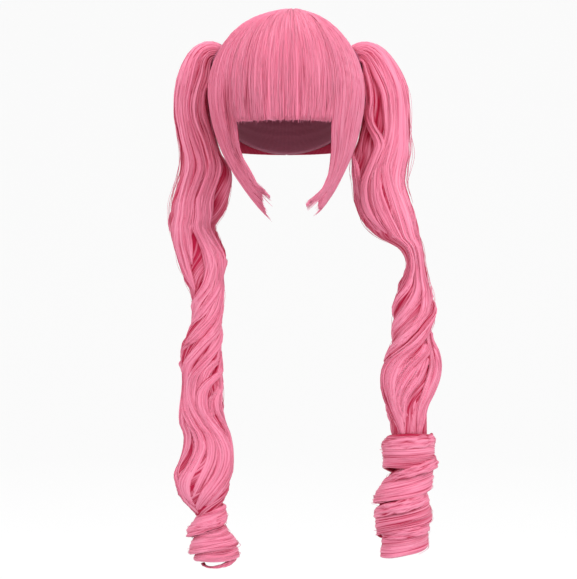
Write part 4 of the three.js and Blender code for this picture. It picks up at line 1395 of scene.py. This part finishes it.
def wound_band(side, table, windings, begin, tip, seed):
    """The band of combed hair that is wound into a ringlet, or a fold of it, with painted shade."""
    widest = max(row[2] for row in windings)
    columns, outer_columns = (64, 44) if widest > 9 else (30, 22)
    rows_a_turn = 60
    rows = round((windings[-1][0] - windings[0][0]) * rows_a_turn)
    lines, clumps = round(2.7 * widest), round(0.9 * widest) + 1

    def place(i, j):
        outer, k = two_sides(i % columns, columns, outer_columns)
        share, end = blunt(j, rows)
        taper = np.where(end, 0, np.sqrt(np.clip(np.minimum(share / 0.04, (1 - share) / 0.1), 0.03, 1)))
        wave = 0.06 * np.sin(share * 31 + seed) + 0.16 * streaks(0.0, share, 2, 24, seed + 5)
        axial = (2 * k - 1) * (1 + wave) * np.sqrt(taper)
        line = streaks(k, share, lines, 26, seed)
        clump = streaks(k, share, clumps, 16, seed + 1)
        fold = streaks(k, share, 5, 9, seed + 2)
        edge = np.sqrt(np.clip(1 - np.abs(2 * k - 1) ** 5, 0, 1))
        rise = (0.0026 * edge + 0.001 * line + 0.0017 * clump + 0.003 * fold * edge) * taper
        radial = np.where(outer, rise, -0.0018 * taper)
        # painted shade along the band's upper edge under the winding above, in the dips of its lines, clumps
        # and folds, more toward the bottom of the roll, and 0.75 on its underside
        dark = 0.5 * (1 - ease(0.0, 0.16, k)) - 0.9 * line - 1.0 * clump - 0.5 * fold - 0.1 + 0.12 * share
        points = roll_point(side, table, windings, begin, tip, share, axial, radial)
        return points, np.where(outer, np.clip(dark, 0, 0.8), 0.75)

    return combed_skin(columns, rows, place, 0.05, rows / rows_a_turn * 0.15, seed * 0.37)


class WIG_OT_ringlets(bpy.types.Operator):
    """Builds the rolled ends"""

    bl_idname = "wig.ringlets"
    bl_label = "Ringlets"

    def execute(self, context):
        s = sizes()
        rolls = (
            ("left", 1, LEFT_ROLL, LEFT_WINDINGS, LEFT_FOLDS, 0.7435, 0.98),
            ("right", -1, RIGHT_ROLL, RIGHT_WINDINGS, RIGHT_FOLDS, 0.9105, 1.0),
        )
        for name, side, table, windings, folds, begin, tip in rolls:
            bands = [
                wound_band(side, table, rows, begin, tip, 9 + side + 20 * k)
                for k, rows in enumerate([windings, *folds])
            ]
            finish_hair(combed_piece(f"rolled_end_{name}", bands), f"ringlet_{name}")
            rng = np.random.default_rng(97 + side)
            count, steps = 120, 26
            start = rng.uniform(0.02, 0.8, (count, 1))
            share = start + rng.uniform(0.06, 0.16, (count, 1)) * np.linspace(0, 1, steps)[None, :]
            axial = rng.uniform(-0.95, 1.02, (count, 1))
            axial = axial + 0.05 * np.sin(share * rng.uniform(30, 60, (count, 1)))
            free = rng.uniform(0, 1, (count, 1)) ** 4 * np.sin(np.linspace(0, math.pi, steps))[None, :]
            radial = 0.0026 + 0.003 * free
            paths = roll_point(side, table, windings, begin, tip, np.minimum(share, 1), axial, radial)
            finish_hair(strand_mesh(f"roll_strands_{name}", paths, s.strand / 3, 101 + side))
        return {"FINISHED"}


def paper_bowl():
    """The floor, a disc that curves up into a round wall, as rings of radius and height."""
    bowl = bmesh.new()
    bmesh.ops.create_circle(bowl, cap_ends=False, segments=96, radius=0.2)
    rings = [(r, 0.0) for r in (1.0, 2.0, 3.0, 4.0)]
    bend = 1.5
    rings += [
        (4 + bend * math.sin(t), bend - bend * math.cos(t)) for t in np.linspace(0.15, math.pi / 2, 10)
    ]
    rings += [(5.5, 4.0), (5.5, 7.0)]
    edges = list(bowl.edges)
    bmesh.ops.contextual_create(bowl, geom=edges)
    for radius, height in rings:
        grown = bmesh.ops.extrude_edge_only(bowl, edges=edges)["geom"]
        edges = [item for item in grown if isinstance(item, bmesh.types.BMEdge)]
        for vertex in {vertex for edge in edges for vertex in edge.verts}:
            reach = radius / math.hypot(vertex.co.x, vertex.co.y)
            vertex.co = Vector((vertex.co.x * reach, vertex.co.y * reach, height))
    bmesh.ops.translate(bowl, vec=(0, 0, FLOOR_LEVEL), verts=bowl.verts)
    for face in bowl.faces:
        face.smooth = True
    mesh = bpy.data.meshes.new("floor")
    bowl.to_mesh(mesh)
    bowl.free()
    return mesh


class WIG_OT_studio(bpy.types.Operator):
    """Sets the floor, the lights and the camera"""

    bl_idname = "wig.studio"
    bl_label = "Studio"

    def execute(self, context):
        floor = new_object("floor", paper_bowl())
        floor.data.materials.append(matt_paper())
        # the paper doesn't colour or light the hair
        floor.visible_diffuse = False
        floor.visible_glossy = False
        floor.visible_shadow = False
        floor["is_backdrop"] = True

        world = bpy.data.worlds.new("studio")
        context.scene.world = world
        world.use_nodes = True
        room = world.node_tree.nodes["Background"].inputs
        room["Color"].default_value = (1.0, 1.0, 1.0, 1.0)
        room["Strength"].default_value = ROOM_LIGHT
        for name, spot, size, power in LAMPS:
            light = bpy.data.lights.new(name, "AREA")
            light.size = size
            light.energy = power
            lamp = new_object(name, light)
            lamp.location = spot
            lamp.rotation_euler = (Vector(spot) - Vector(LAMPS_AIM)).to_track_quat("Z", "Y").to_euler()

        camera = bpy.data.cameras.new("camera")
        camera.sensor_width = SENSOR
        camera.lens = SENSOR * -CAMERA[1] / VIEW_WIDTH
        camera.clip_end = 30
        eye = new_object("camera", camera)
        eye.location = CAMERA
        eye.rotation_euler = (math.pi / 2, 0, 0)
        context.scene.camera = eye
        context.scene.view_settings.view_transform = "Standard"
        return {"FINISHED"}


class WIG_PT_panel(bpy.types.Panel):
    """Lists the sizes, the colours and the steps"""

    bl_label = "Pigtail wig"
    bl_idname = "WIG_PT_panel"
    bl_space_type = "VIEW_3D"
    bl_region_type = "UI"
    bl_category = "Wig"

    def draw(self, context):
        for group in (context.scene.wig_sizes, context.scene.wig_colours):
            for name in group.__annotations__:
                self.layout.prop(group, name)
        for step in STEPS:
            self.layout.operator(step.bl_idname)


STEPS = (
    WIG_OT_cap,
    WIG_OT_fringe,
    WIG_OT_side_locks,
    WIG_OT_back_hair,
    WIG_OT_hair_ties,
    WIG_OT_pigtails,
    WIG_OT_ringlets,
    WIG_OT_studio,
)
CLASSES = (WIG_PG_sizes, WIG_PG_colours, *STEPS, WIG_PT_panel)


def register():
    for item in CLASSES:
        bpy.utils.register_class(item)
    bpy.types.Scene.wig_sizes = bpy.props.PointerProperty(type=WIG_PG_sizes)
    bpy.types.Scene.wig_colours = bpy.props.PointerProperty(type=WIG_PG_colours)


def unregister():
    del bpy.types.Scene.wig_colours
    del bpy.types.Scene.wig_sizes
    for item in reversed(CLASSES):
        bpy.utils.unregister_class(item)


def corners():
    """The lowest and the highest corner of everything in the frame, as plain lists."""
    return [[float(value) for value in corner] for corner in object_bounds()]


def main():
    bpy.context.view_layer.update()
    register()
    for step in STEPS:
        group, name = step.bl_idname.split(".")
        getattr(getattr(bpy.ops, group), name)()


if __name__ == "__main__":
    main()
